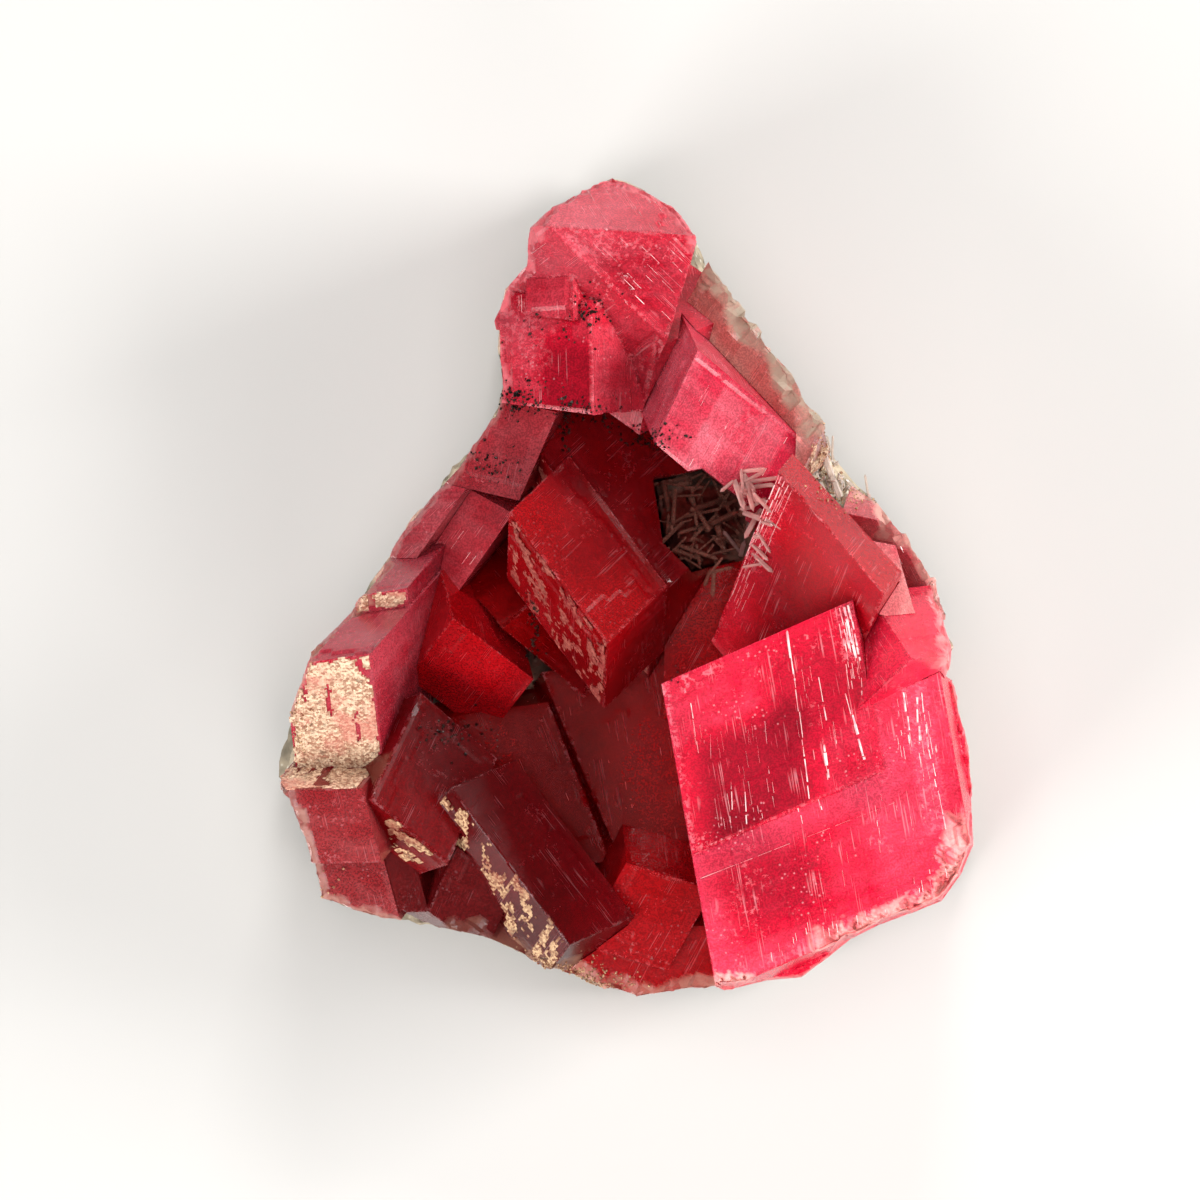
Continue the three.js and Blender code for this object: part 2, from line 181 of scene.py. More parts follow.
# Each growth: its deep and pale colours, how much pale veil it has, how frosted its faces are,
# how strongly growth lines show, how clear it is, how deep its growth steps go in mm, and the
# break where it reaches the outline: its width in mm, steepness and colour.
# The deep and pale colours differ from growth to growth partly by the crystal's own tone and partly as
# painted light and shade: the growths on the right get brighter colours, and those in the middle recess,
# in the pocket and at the lower left get darker ones.
CRYSTAL_ROWS = [
    ("big_rhomb", (226, 14, 52), (248, 86, 116), 0.35, 0.5, 0.8, 0.3, 0.1, 3.0, 0.45, (253, 176, 170)),
    ("right_rhomb", (240, 20, 58), (250, 84, 112), 0.4, 0.3, 0.4, 0.3, 0.1, 1.0, 0.6, (250, 150, 150)),
    ("peak_rhomb", (230, 8, 34), (246, 60, 86), 0.3, 0.2, 0.6, 0.5, 0.1, 0.6, 0.6, (200, 110, 104)),
    ("right_edge_rhombs", (254, 74, 96), (255, 176, 168), 0.6, 0.45, 0.4, 0.4, 0.1, 1.2, 0.6,
     (228, 176, 162)),
    ("upper_right_rhomb", (226, 32, 66), (250, 128, 144), 0.7, 0.3, 0.4, 0.45, 0.15, 1.6, 0.5,
     (214, 150, 138)),
    ("rim_rhomb", (214, 108, 102), (224, 172, 156), 0.9, 0.5, 0.4, 0.45, 0.15, 2.4, 0.4, (196, 178, 156)),
    ("crown_rhombs", (210, 20, 48), (236, 100, 116), 0.55, 0.5, 0.8, 0.4, 0.35, 0.9, 0.6,
     (236, 112, 122)),
    ("center_rhomb", (190, 4, 14), (220, 46, 58), 0.3, 0.18, 0.4, 0.6, 0.15, 0.6, 0.6, (200, 110, 104)),
    ("slope_rhomb_upper", (196, 38, 52), (226, 104, 112), 0.6, 0.45, 0.4, 0.5, 0.1, 0.7, 0.6,
     (204, 108, 106)),
    ("slope_rhomb_slab", (224, 60, 76), (240, 138, 144), 0.7, 0.45, 0.5, 0.5, 0.1, 0.8, 0.6,
     (208, 120, 120)),
    ("slope_rhomb_lower", (236, 44, 62), (246, 120, 130), 0.6, 0.4, 0.5, 0.5, 0.1, 0.7, 0.6,
     (200, 100, 100)),
    ("coated_rhomb", (214, 38, 62), (240, 116, 130), 0.6, 0.35, 0.4, 0.45, 0.15, 0.8, 0.6,
     (214, 150, 134)),
    ("left_rim_rhombs", (164, 36, 42), (198, 96, 98), 0.6, 0.45, 0.5, 0.5, 0.1, 1.0, 0.6,
     (206, 140, 126)),
    ("dark_rhombs", (118, 14, 18), (156, 52, 54), 0.35, 0.2, 0.3, 0.6, 0.1, 1.6, 0.5, (158, 96, 78)),
    ("low_left_rhomb", (146, 0, 8), (178, 30, 40), 0.3, 0.12, 0.4, 0.6, 0.1, 0.6, 0.6, (200, 110, 104)),
    ("low_center_rhomb", (120, 2, 8), (160, 30, 38), 0.25, 0.1, 0.4, 0.6, 0.1, 1.6, 0.5, (186, 130, 104)),
    ("recess_rhomb", (226, 10, 22), (240, 50, 64), 0.3, 0.1, 0.3, 0.6, 0.1, 0.6, 0.6, (200, 110, 104)),
    ("vug_rhomb", (200, 4, 12), (220, 30, 40), 0.2, 0.15, 0.5, 0.6, 0.1, 0.6, 0.6, (200, 110, 104)),
    ("floor_rhombs", (172, 0, 4), (200, 14, 22), 0.2, 0.06, 0.2, 0.6, 0.1, 0.6, 0.6, (200, 110, 104)),
    ("bottom_rhombs", (184, 0, 8), (212, 50, 58), 0.3, 0.25, 0.4, 0.5, 0.1, 1.8, 0.5, (206, 128, 112)),
]
CRYSTALS = {name: Look(*row) for name, *row in CRYSTAL_ROWS}
RIM_TOWARDS = {"big_rhomb": Vector((1, 0, 0))}  # the side on which a rim is broken most
FACE_SPACING = 0.4  # mm between mesh points on faces that show from above
FINE_SPACING = {"big_rhomb": 0.25}
SIDE_SPACING = 0.7  # the same for the faces round the side
SEEN_FROM_ABOVE = 0.1  # least rise of the normal of a face that shows from above
SMALL_FACE = 6.0  # mm2, under which a face is broken all over
RIM_FACE = 12.0  # mm2, over which a face is broken down at the outline
STEPPED_FACE = 20.0  # mm2, over which a face has growth steps
RIM_TEST = 0.7  # mm beside a face where the floor is looked for
RIM_BLOCKS = ((2.6, 3.6, 0.32), (0.9, 1.5, 0.14))  # broken steps there: width, height, depth in mm
RIM_FADE = 2.6  # mm below its upper edge over which a broken face turns deeper

# Thin raised growth lines on a crystal's faces. The face is given by its rank in size; its a runs
# along its more level edge and its b down the other, in mm. A line goes from a, b to a, b and has
# a width.
GROWTH_LINES = [
    ("big_rhomb", 1, [
        (13.7, 0.2, 12.8, 16.8, 0.13), (13.6, 0.3, 13.4, 5.2, 0.2), (15.9, 5.8, 15.9, 10.2, 0.16),
        (15.3, 12.3, 15.1, 16.0, 0.26), (19.7, 0.3, 20.0, 5.6, 0.24), (20.2, 0.3, 20.4, 6.0, 0.2),
        (19.2, 0.2, 19.5, 4.4, 0.12), (18.6, 10.7, 19.0, 15.4, 0.24), (18.3, 8.4, 18.5, 10.8, 0.14),
        (20.2, 7.6, 19.8, 10.4, 0.14), (4.0, 6.7, 3.6, 9.0, 0.07), (5.2, 12.0, 4.8, 14.7, 0.07),
        (6.4, 13.5, 6.0, 16.6, 0.1), (9.7, 7.7, 9.5, 9.9, 0.1), (2.6, 3.0, 2.5, 8.0, 0.07)
    ]),
    ("big_rhomb", 0, [
        (24.3, 0.4, 24.0, 5.5, 0.22), (25.6, 1.4, 24.9, 5.9, 0.24), (26.1, 1.2, 25.6, 6.6, 0.14),
        (25.8, 6.8, 26.0, 15.0, 0.14), (25.2, 8.0, 25.3, 14.0, 0.08), (19.3, 9.8, 19.1, 13.6, 0.1),
        (13.5, 5.6, 13.8, 8.1, 0.18), (11.5, 6.2, 11.6, 8.6, 0.14), (0.3, 9.5, 10.0, 9.9, 0.06),
        (12.0, 10.0, 21.5, 10.4, 0.05)
    ]),
    ("peak_rhomb", 0, [
        (0.25, 0.3, 0.2, 13.0, 0.12), (0.7, 0.2, 0.6, 9.0, 0.14), (1.2, 0.3, 1.0, 6.0, 0.1),
        (1.7, 0.3, 1.4, 4.5, 0.08), (0.4, 8.0, 0.3, 19.0, 0.07), (2.3, 0.4, 2.0, 8.0, 0.05)
    ]),
]
# Patches of short growth lines: crystal, which of its faces by size, a and b ranges as shares of
# the face, how many lines, their mean length and width in mm.
LINE_PATCHES = [
    ("big_rhomb", 0, (0.8, 0.94), (0.02, 0.34), 22, 1.4, 0.09),
    ("big_rhomb", 0, (0.4, 0.9), (0.4, 0.7), 8, 1.0, 0.05),
    ("big_rhomb", 0, (0.2, 0.9), (0.86, 0.98), 30, 0.8, 0.06),
    ("big_rhomb", 1, (0.6, 0.8), (0.25, 0.95), 10, 1.6, 0.06),
    ("big_rhomb", 1, (0.9, 0.99), (0.0, 0.4), 26, 1.2, 0.1),
    ("big_rhomb", 1, (0.1, 0.45), (0.3, 0.95), 22, 1.8, 0.04),
    ("crown_rhombs", 0, (0.2, 0.6), (0.0, 0.5), 34, 2.4, 0.09),
    ("crown_rhombs", 1, (0.1, 0.9), (0.05, 0.95), 14, 1.4, 0.06),
    ("crown_rhombs", 2, (0.1, 0.9), (0.05, 0.9), 26, 1.6, 0.07),
    ("crown_rhombs", 3, (0.1, 0.9), (0.05, 0.9), 30, 1.4, 0.07),
    ("peak_rhomb", 0, (0.01, 0.14), (0.02, 0.6), 18, 3.0, 0.05),
    ("right_edge_rhombs", 0, (0.1, 0.9), (0.1, 0.9), 8, 1.4, 0.09),
    ("slope_rhomb_lower", 0, (0.1, 0.9), (0.1, 0.9), 6, 2.0, 0.08),
    ("upper_right_rhomb", 1, (0.05, 0.9), (0.05, 0.9), 14, 1.4, 0.05),
    ("center_rhomb", 0, (0.1, 0.95), (0.1, 0.9), 8, 1.2, 0.05),
]
# Zones of a face, in its a and b in mm: crystal, face by size, from, to, how softly the zone
# ends, how much paler it is (deeper if negative), and how scuffed.
WHOLE_FACE = ((-99.0, -99.0), (99.0, 99.0), 1.0)
ZONES = [
    ("big_rhomb", 0, *WHOLE_FACE, 0.14, 0.0),
    ("big_rhomb", 1, *WHOLE_FACE, -0.1, 0.0),
    ("crown_rhombs", 0, *WHOLE_FACE, -0.1, 0.0),
    ("crown_rhombs", 1, *WHOLE_FACE, 0.35, 0.0),
    ("peak_rhomb", 0, *WHOLE_FACE, 0.1, 0.0),
    ("upper_right_rhomb", 0, *WHOLE_FACE, 0.15, 0.0),
    ("big_rhomb", 1, (3.5, 8.5), (12.0, 16.6), 3.0, -0.7, 0.0),
    ("big_rhomb", 1, (12.0, 3.0), (17.0, 9.5), 3.0, -0.4, 0.0),
    ("big_rhomb", 1, (2.0, 0.5), (6.0, 1.2), 0.8, 0.0, 0.7),
    ("big_rhomb", 1, (0.2, 16.0), (1.8, 16.8), 0.6, 0.1, 0.8),
    ("big_rhomb", 1, (18.9, 0.2), (20.6, 5.5), 0.5, 0.2, 0.6),
    ("big_rhomb", 1, (0.0, 0.0), (0.4, 17.0), 0.4, 0.1, 0.7),
    ("big_rhomb", 0, (0.0, 5.9), (22.0, 9.6), 0.4, 0.12, 0.0),
    ("big_rhomb", 0, (4.0, 11.0), (17.0, 17.0), 3.0, -0.3, 0.0),
    ("big_rhomb", 0, (24.2, 0.3), (26.2, 14.5), 0.6, 0.25, 0.4),
    ("big_rhomb", 0, (0.0, 19.6), (22.0, 20.9), 0.5, 0.15, 0.4),
    ("peak_rhomb", 0, (0.0, 0.0), (1.6, 12.0), 1.2, 0.15, 0.3),
    ("peak_rhomb", 0, (5.0, 6.0), (14.0, 22.0), 4.0, -0.3, 0.0),
    ("upper_right_rhomb", 1, (5.0, 1.5), (8.0, 10.5), 0.4, 0.3, 0.0),
    ("upper_right_rhomb", 1, (11.0, 0.0), (13.5, 9.0), 0.4, 0.25, 0.0),
    ("upper_right_rhomb", 1, (0.0, 0.0), (16.5, 0.6), 0.4, 0.2, 0.5),
    ("crown_rhombs", 0, (0.0, 0.0), (4.0, 6.0), 2.5, 0.1, 0.4),
    ("crown_rhombs", 0, (5.5, 6.0), (10.3, 11.9), 2.0, -0.5, 0.0),
    ("crown_rhombs", 2, (0.0, 0.0), (8.0, 3.0), 2.0, 0.1, 0.5),
    ("crown_rhombs", 1, (0.0, 0.0), (15.0, 1.5), 0.8, 0.1, 0.6),
    ("coated_rhomb", 1, (0.0, 0.0), (9.0, 2.0), 1.0, 0.2, 0.6),
]

# Crusts of fine grains: crystal, the direction its coated faces look in, the share of the face
# that is covered, the thickness in mm, how fine its patches are, and its material.
CRUSTS = [
    ("coated_rhomb", (-0.11, -0.69, 0.72), 0.95, 0.2, 1.0, "cream_crust"),
    ("left_rim_rhombs", (-0.05, 0.93, 0.37), 0.75, 0.2, 1.0, "cream_crust"),
    ("low_center_rhomb", (-0.59, -0.46, 0.66), 0.52, 0.1, 3.0, "gold_crust"),
    ("low_left_rhomb", (-0.48, -0.66, 0.58), 0.44, 0.1, 3.0, "gold_crust"),
    ("center_rhomb", (-0.79, -0.5, 0.34), 0.4, 0.05, 3.6, "rosy_crust"),
    ("rim_rhomb", (0.86, -0.5, 0.14), 0.6, 0.2, 1.0, "cream_crust"),
]

# The dark and light grains of each crust, and its stains.
CRUST_TONES = {
    "cream_crust": ((158, 112, 88), (228, 198, 168), (196, 112, 100)),
    "gold_crust": ((122, 76, 56), (206, 168, 130), (132, 48, 42)),
    "rosy_crust": ((120, 34, 34), (172, 96, 84), (140, 36, 40)),
}


# --- Reading the frame --------------------------------------------------------------------------

def flat_faced(node):
    """A node's CAD mesh with its coplanar triangles joined into flat polygons."""
    mesh = bmesh.new()
    mesh.from_mesh(NODES[node].data)
    bmesh.ops.remove_doubles(mesh, verts=mesh.verts, dist=MERGE_REACH)
    bmesh.ops.dissolve_degenerate(mesh, edges=mesh.edges, dist=0.01 * MM)
    bmesh.ops.dissolve_limit(
        mesh, angle_limit=math.radians(0.6), verts=mesh.verts, edges=mesh.edges
    )
    mesh.normal_update()
    return mesh


def tree_of_neighbours(node=None):
    """A search tree over every CAD node but this one."""
    points = []
    faces = []
    for name, other in NODES.items():
        if name == node:
            continue
        start = len(points)
        points += [tuple(vert.co) for vert in other.data.vertices]
        faces += [[start + i for i in polygon.vertices] for polygon in other.data.polygons]
    return BVHTree.FromPolygons(points, faces)


def in_contact(face, tree):
    """Whether most of a face has a neighbour close in front of it."""
    middle = face.calc_center_median()
    hits = 0
    spots = [middle] + [middle.lerp(vert.co, 0.6) for vert in face.verts]
    for spot in spots:
        hit = tree.ray_cast(spot + face.normal * 0.01 * MM, face.normal, CONTACT_REACH)
        hits += hit[0] is not None
    return hits > CONTACT_SHARE * len(spots)


def dropped(tree, x, y):
    """Where something dropped at x and y lands in a search tree, and the normal there."""
    return tree.ray_cast(Vector((x, y, ABOVE)), DOWN)[:2]


WHOLE = tree_of_neighbours()


def at_rim(face):
    """Whether a face is part of the specimen's outline: beside it is nothing but the floor."""
    level = Vector((face.normal.x, face.normal.y, 0))
    if level.length < 0.4:
        return False
    middle = face.calc_center_median()
    beside = middle + level.normalized() * RIM_TEST * MM
    spot = dropped(WHOLE, beside.x, beside.y)[0]
    return spot is None or spot.z < 0.3 * middle.z


# --- Fine crystal faces -------------------------------------------------------------------------

def swell(mesh, reach):
    """Moves every face plane outwards by reach, and each corner with its planes."""
    moves = {}
    for vert in mesh.verts:
        normals = []
        for face in vert.link_faces:
            if all(face.normal.angle(other, 0) > 0.1 for other in normals):
                normals.append(face.normal.copy())
        rows = np.array([tuple(normal) for normal in normals[:4]])
        move = np.linalg.lstsq(rows, np.full(len(rows), reach), rcond=0.05)[0]
        size = np.linalg.norm(move)
        moves[vert] = Vector(move * min(1, 2.5 * reach / max(size, 1e-9)))
    for vert, move in moves.items():
        vert.co += move


def split_edges(mesh, spacing):
    """Cuts every edge into steps of about the spacing."""
    groups = {}
    for edge in mesh.edges:
        cuts = round(edge.calc_length() / spacing) - 1
        if cuts > 0:
            groups.setdefault(cuts, []).append(edge)
    for cuts, edges in groups.items():
        bmesh.ops.bisect_edges(mesh, edges=edges, cuts=cuts)


def face_axes(corners, normal):
    """The directions of a face's two main edges: the more level one, then the other one down."""
    sums = []
    for start, end in zip(corners, corners[1:] + corners[:1]):
        step = end - start
        for entry in sums:
            if abs(entry[0].dot(step.normalized())) > 0.98:
                entry[1] += step.length
                break
        else:
            sums.append([step.normalized(), step.length])
    sums.sort(key=lambda entry: -entry[1])
    first = sums[0][0]
    second = next((s[0] for s in sums[1:] if abs(s[0].dot(first)) < 0.75), None)
    if second is None:
        second = normal.cross(first)
    if abs(second.x) > abs(first.x):
        first, second = second, first
    return first * (1 if first.x > 0 else -1), second * (1 if second.y < 0 else -1)


class Face:
    """A flat face with growth coordinates: a along its more level edge and b down the other."""

    def __init__(self, corners, normal, area, hidden):
        self.normal = normal.copy()
        self.area = area
        self.hidden = hidden
        self.first, self.second = face_axes(corners, normal)
        self.across = normal.cross(self.first)
        self.corners = corners
        self.origin = corners[0].copy()
        self.lean = self.second.dot(self.first)
        self.rise = self.second.dot(self.across)
        self.low = (0.0, 0.0)
        places = [self.place(corner) for corner in corners]
        self.low = tuple(min(place[k] for place in places) for k in (0, 1))
        self.size = tuple(max(place[k] for place in places) - self.low[k] for k in (0, 1))

    def flat(self, point):
        """A point's square coordinates in the plane of the face, in mm."""
        step = point - self.origin
        return step.dot(self.first) / MM, step.dot(self.across) / MM

    def place_of_flat(self, x, y):
        b = y / self.rise
        return x - b * self.lean - self.low[0], b - self.low[1]

    def place(self, point):
        """A point's growth coordinates, in mm."""
        return self.place_of_flat(*self.flat(point))

    def point(self, a, b, lift=0.0):
        """The point at a and b in mm, lifted off the face by lift in mm."""
        along = self.first * (a + self.low[0]) + self.second * (b + self.low[1])
        return self.origin + (along + self.normal * lift) * MM


def inside_polygon(points, outline, margin):
    """Which points lie inside the outline and the margin away from it, and how far away."""
    inside = np.zeros(len(points), bool)
    near = np.full(len(points), np.inf)
    following = np.roll(outline, -1, axis=0)
    for (ax, ay), (bx, by) in zip(outline, following):
        crosses = (ay > points[:, 1]) != (by > points[:, 1])
        at = ax + (points[:, 1] - ay) * (bx - ax) / (by - ay if by != ay else 1e-12)
        inside ^= crosses & (points[:, 0] < at)
        edge = np.array([bx - ax, by - ay])
        along = ((points - (ax, ay)) @ edge) / max(edge @ edge, 1e-12)
        foot = np.outer(np.clip(along, 0, 1), edge) + (ax, ay)
        near = np.minimum(near, np.linalg.norm(points - foot, axis=1))
    return inside & (near > margin), near


def lattice(face, outline, spacing):
    """Points inside a face's outline on a lattice along its edges, with their distance to it."""
    b_steps = np.arange(spacing / 2, face.size[1], spacing) + face.low[1]
    a_steps = np.arange(spacing / 2, face.size[0], spacing) + face.low[0]
    grid_a, grid_b = np.meshgrid(a_steps, b_steps)
    a, b = grid_a.ravel(), grid_b.ravel()
    points = np.column_stack([a + b * face.lean, b * face.rise])
    if not len(points):
        return []
    keep, near = inside_polygon(points, outline, 0.45 * spacing)
    return [(x, y, d) for (x, y), d in zip(points[keep], near[keep])]


def growth_steps(chance, depth):
    """The steps near the edges of one face: axis, side, share of its size, depth and a seed."""
    steps = []
    for _ in range(chance.randint(1, 3)):
        side = chance.choice((-1, 1))
        where = chance.uniform(0.05, 0.28)
        steps.append((chance.randint(0, 1), side, where, depth * chance.uniform(0.4, 1),
                      chance.uniform(0, 50)))
    return steps


def step_depth(steps, face, a, b):
    """How far the growth steps take a place below the face, in mm."""
    depth = 0
    for axis, side, where, height, seed in steps:
        along, across = (a, b) if axis else (b, a)
        size = face.size[1] if axis else face.size[0]
        jog = 0.8 * round(2 * noise.noise((along * 0.22, seed, 0.3)))
        edge = where * size + jog
        reached = across if side < 0 else size - across
        depth += height * (reached < edge)
    return depth


def broken_depth(a, b, seed):
    """How deep the broken steps of a face at the outline are at a place, in mm."""
    depth = 0
    for wide, high, deep in RIM_BLOCKS:
        bend = 0.9 * noise.noise((a * 0.2, b * 0.2, seed))
        depth += deep * (0.5 + 0.5 * noise.cell(Vector((a / wide + bend, b / high + bend, seed))))
    return depth


def rough(point, scale):
    """Noise of two sizes at a point, from about -1 to 1."""
    place = Vector(point) / MM
    return noise.noise(place * 0.45 * scale) + 0.5 * noise.noise(place * 1.3 * scale)


class BodyMesh:
    """The points and triangles of one finely meshed body, and what its material needs to know."""

    def __init__(self):
        self.points = []
        self.wear_and_edge_highlight = []  # how worn or scuffed each point is, 0 to 1; along the shown edges also how strong a painted highlight is
        self.rim = []  # how broken the rim is at each point, 0 to 1
        self.tint = []  # how much paler each point is than its crystal, -1 to 1
        self.triangles = []
        self.places = []  # growth coordinates of each triangle corner, in mm
        self.faces = []  # the flat faces, largest first

    def add_point(self, point, wear_and_edge_highlight=0.0):
        self.points.append(tuple(point))
        self.wear_and_edge_highlight.append(wear_and_edge_highlight)
        self.rim.append(0.0)
        self.tint.append(0.0)
        return len(self.points) - 1


def break_rim(body, face, edge_points, width, slope, towards):
    """Breaks a face down towards the rim, as if the specimen had been knocked off there."""
    full_width = width
    near = KDTree(len(edge_points))
    for index, point in enumerate(edge_points):
        near.insert((*face.flat(point), 0), index)
    near.balance()
    for index, values in enumerate(body.points):
        point = Vector(values)
        height = (point - face.origin).dot(face.normal) / MM
        if height > 0.05 or height < -2 * width:
            continue
        x, y = face.flat(point)
        edge, _, distance = near.find((x, y, 0))
        if towards is not None:
            out = (face.first * (edge.x - x) + face.across * (edge.y - y)).normalized()
            width = full_width * (0.3 + 0.7 * max(0, out.dot(towards)))
        place = point / MM
        a, b = face.place_of_flat(x, y)
        block = noise.cell(Vector((a / 1.5, b / 1.9, 0.5)))
        reach = width * (0.8 + 0.7 * noise.noise(Vector((x, y, 0)) * 0.6 / width) + 0.18 * block)
        if distance > reach:
            continue
        facets = 0.3 * noise.noise(place * 0.9) + 0.3 * block
        allowed = -slope * (reach - distance) * (1 + facets)
        if height > allowed:
            body.points[index] = tuple(point + face.normal * (allowed - height) * MM)
        body.rim[index] = max(body.rim[index], min(1, 4 * (reach - distance) / width))


def worn_edge(vert, faces_of, seed):
    """Where a point of an edge ends up once the edge is worn and chipped, and how strongly it is whitened
    there: partly wear, partly a painted highlight along the edge.
    """
    pull = Vector()
    shown = []
    for face in vert.link_faces:
        pull -= face.normal
        shown.append(not faces_of[face].hidden)
    if all(faces_of[face].area < SMALL_FACE for face in vert.link_faces):
        return vert.co + pull.normalized() * RIM_BREAK * rough(vert.co, 1.6), 0.0
    if not all(shown):
        return vert.co.copy(), 0.0
    place = vert.co / MM + Vector((seed, 0, 0))
    chip = max(0, noise.noise(place * 0.5) - 0.25) * 1.4 * max(0, noise.noise(place * 2.3) + 0.4)
    amount = 0.3 + 0.7 * abs(noise.noise(place * 0.9))
    return vert.co + pull.normalized() * (WORN_EDGE * amount + 0.8 * MM * chip), min(1, amount + chip)


def mesh_face(body, face, corners, ids, spacing, depth_of):
    """Fills one flat face with triangles on a lattice along its edges."""
    outline = np.array([face.flat(corner) for corner in corners])
    inner = lattice(face, outline, spacing) if spacing else []
    every = [Vector(place) for place in outline] + [Vector((x, y)) for x, y, _ in inner]
    ids = list(ids)
    for x, y, near in inner:
        point = face.origin + face.first * (x * MM) + face.across * (y * MM)
        depth = depth_of(*face.place_of_flat(x, y), near, point)
        ids.append(body.add_point(point - face.normal * (depth * MM)))
    made = delaunay_2d_cdt(every, [], [list(range(len(outline)))], 1, 1e-5)
    spots, triangles, sources = made[0], made[2], made[3]
    for triangle in triangles:
        if any(not sources[i] for i in triangle):
            continue
        p, q, r = (spots[i] for i in triangle)
        order = triangle if (q - p).cross(r - p) > 0 else triangle[::-1]
        names = [sources[i][0] for i in order]
        body.triangles.append([ids[i] for i in names])
        body.places.append([face.place_of_flat(*every[i]) for i in names])


def paint_zones(body, node):
    """Makes the zones of a growth's faces paler, deeper or scuffed."""
    for crystal, rank, low, high, soft, paler, scuffed in ZONES:
        if crystal != node:
            continue
        face = body.faces[rank]
        for index in face.point_ids:
            place = face.place(Vector(body.points[index]))
            share = 1.0
            for value, least, most in zip(place, low, high):
                share *= max(0, min(1, 1 + (value - least) / soft, 1 + (most - value) / soft))
            body.tint[index] += paler * share
            body.wear_and_edge_highlight[index] = max(body.wear_and_edge_highlight[index], scuffed * share)


def fine_body(node, look):
    """The finely meshed body of a growth."""
    mesh = flat_faced(node)
    tree = tree_of_neighbours(node)
    swell(mesh, CONTACT_CLOSE)
    mesh.normal_update()
    faces_of = {}
    for flat in mesh.faces:
        corners = [vert.co.copy() for vert in flat.verts]
        area = flat.calc_area() / MM**2
        if area > 1e-4:
            faces_of[flat] = Face(corners, flat.normal, area, in_contact(flat, tree))
    top_spacing = FINE_SPACING.get(node, FACE_SPACING)
    split_edges(mesh, 1.2 * top_spacing * MM)
    body = BodyMesh()
    seed = sum(map(ord, node)) % 97
    ids = {}
    outer = {flat for flat in faces_of if at_rim(flat)}
    for vert in mesh.verts:
        if all(face in faces_of for face in vert.link_faces):
            ids[vert] = body.add_point(*worn_edge(vert, faces_of, seed))
        else:
            ids[vert] = body.add_point(vert.co)
    for number, flat in enumerate(mesh.faces):
        if flat not in faces_of:
            continue
        face = faces_of[flat]
        chance = random.Random(seed * 100 + number)
        steps = growth_steps(chance, look.step) if face.area > STEPPED_FACE else []
        fine = face.normal.z > SEEN_FROM_ABOVE or flat in outer
        spacing = top_spacing if fine or face.area < SMALL_FACE else SIDE_SPACING

        def depth_of(a, b, near, point, face=face, steps=steps, spacing=spacing, flat=flat):
            if face.area < SMALL_FACE:
                return RIM_BREAK / MM * rough(point, 1.6)
            fade = min(1, near / (1.2 * spacing))
            if flat in outer:
                return fade * broken_depth(a, b, seed)
            wave = 0.015 * noise.noise(point / MM * 0.8)
            return fade * (step_depth(steps, face, a, b) + wave)

        corners = [vert.co for vert in flat.verts]
        before = len(body.points)
        mesh_face(body, face, corners, [ids[vert] for vert in flat.verts],
                  None if face.hidden else spacing, depth_of)
        face.point_ids = list(range(before, len(body.points)))
    for flat, face in faces_of.items():
        if face.area < RIM_FACE or face.hidden or face.normal.z < 0.3 or flat in outer:
            continue
        edge_points = [vert.co for vert in flat.verts if any(f in outer for f in vert.link_faces)]
        if edge_points:
            break_rim(body, face, edge_points, look.rim_width, look.rim_slope, RIM_TOWARDS.get(node))
    top = max((vert.co.z for flat in outer for vert in flat.verts), default=0)
    for flat in outer:
        for index in faces_of[flat].point_ids + [ids[vert] for vert in flat.verts]:
            below = (top - body.points[index][2]) / MM
            body.rim[index] = max(body.rim[index], 0.22 + 0.78 * math.exp(-below / RIM_FADE))
    mesh.free()
    body.faces = sorted(
        (face for face in faces_of.values() if not face.hidden and face.normal.z > SEEN_FROM_ABOVE),
        key=lambda face: -face.area,
    )
    paint_zones(body, node)
    return body


def inside_box(point):
    """A point, moved into the CAD model's box where it strays out."""
    return [min(max(value, CAD_BOX[0][k]), CAD_BOX[1][k]) for k, value in enumerate(point)]


def piece_from(name, points, triangles, material):
    """A mesh object riding on the specimen, kept inside the CAD model's box."""
    data = bpy.data.meshes.new(name)
    data.from_pydata([inside_box(point) for point in points], [], triangles)
    data.update()
    data.materials.append(material)
    piece = bpy.data.objects.new(name, data)
    bpy.context.scene.collection.objects.link(piece)
    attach(piece, "root")
    return piece


def on_face(face, a, b, margin):
    """Whether a place in growth coordinates is on a face and the margin in mm from its edges."""
    outline = np.array([face.flat(corner) for corner in face.corners])
    spot = face.flat(face.point(a, b))
    return bool(inside_polygon(np.array([spot]), outline, margin)[0][0])


def ridge(points, triangles, start, end, normal, width):
    """A thin raised line from start to end on a face, in mm."""
    side = (end - start).normalized().cross(normal) * (width / 2) * MM
    base = len(points)
    sink = normal * -0.05 * MM
    crest = normal * 0.45 * width * MM
    for at in (start, end):
        taper = (end - start).normalized() * (0.5 * width * MM) * (1 if at is start else -1)
        points += [at - side + sink, at + side + sink, at + crest + taper]
    a, b, c, d, e, f = range(base, base + 6)
    triangles += [(a, b, c), (d, f, e), (a, c, f), (a, f, d), (b, e, f), (b, f, c), (a, d, e),
                  (a, e, b)]


def broken_line(points, triangles, chance, face, start, end, width):
    """A growth line of short straight stretches with small gaps and sidesteps."""
    length = math.dist(start, end)
    done = 0.0
    while done < length:
        run = min(chance.uniform(0.6, 2.6), length - done)
        shares = (done / length, (done + run) / length)
        shift = chance.gauss(0, 0.06)
        ends = [
            face.point(start[0] + (end[0] - start[0]) * share + shift,
                       start[1] + (end[1] - start[1]) * share)
            for share in shares
        ]
        if run > 0.15:
            ridge(points, triangles, *ends, face.normal, width * chance.uniform(0.6, 1.2))
        done += run + chance.uniform(0.05, 0.5)


# --- Materials ----------------------------------------------------------------------------------

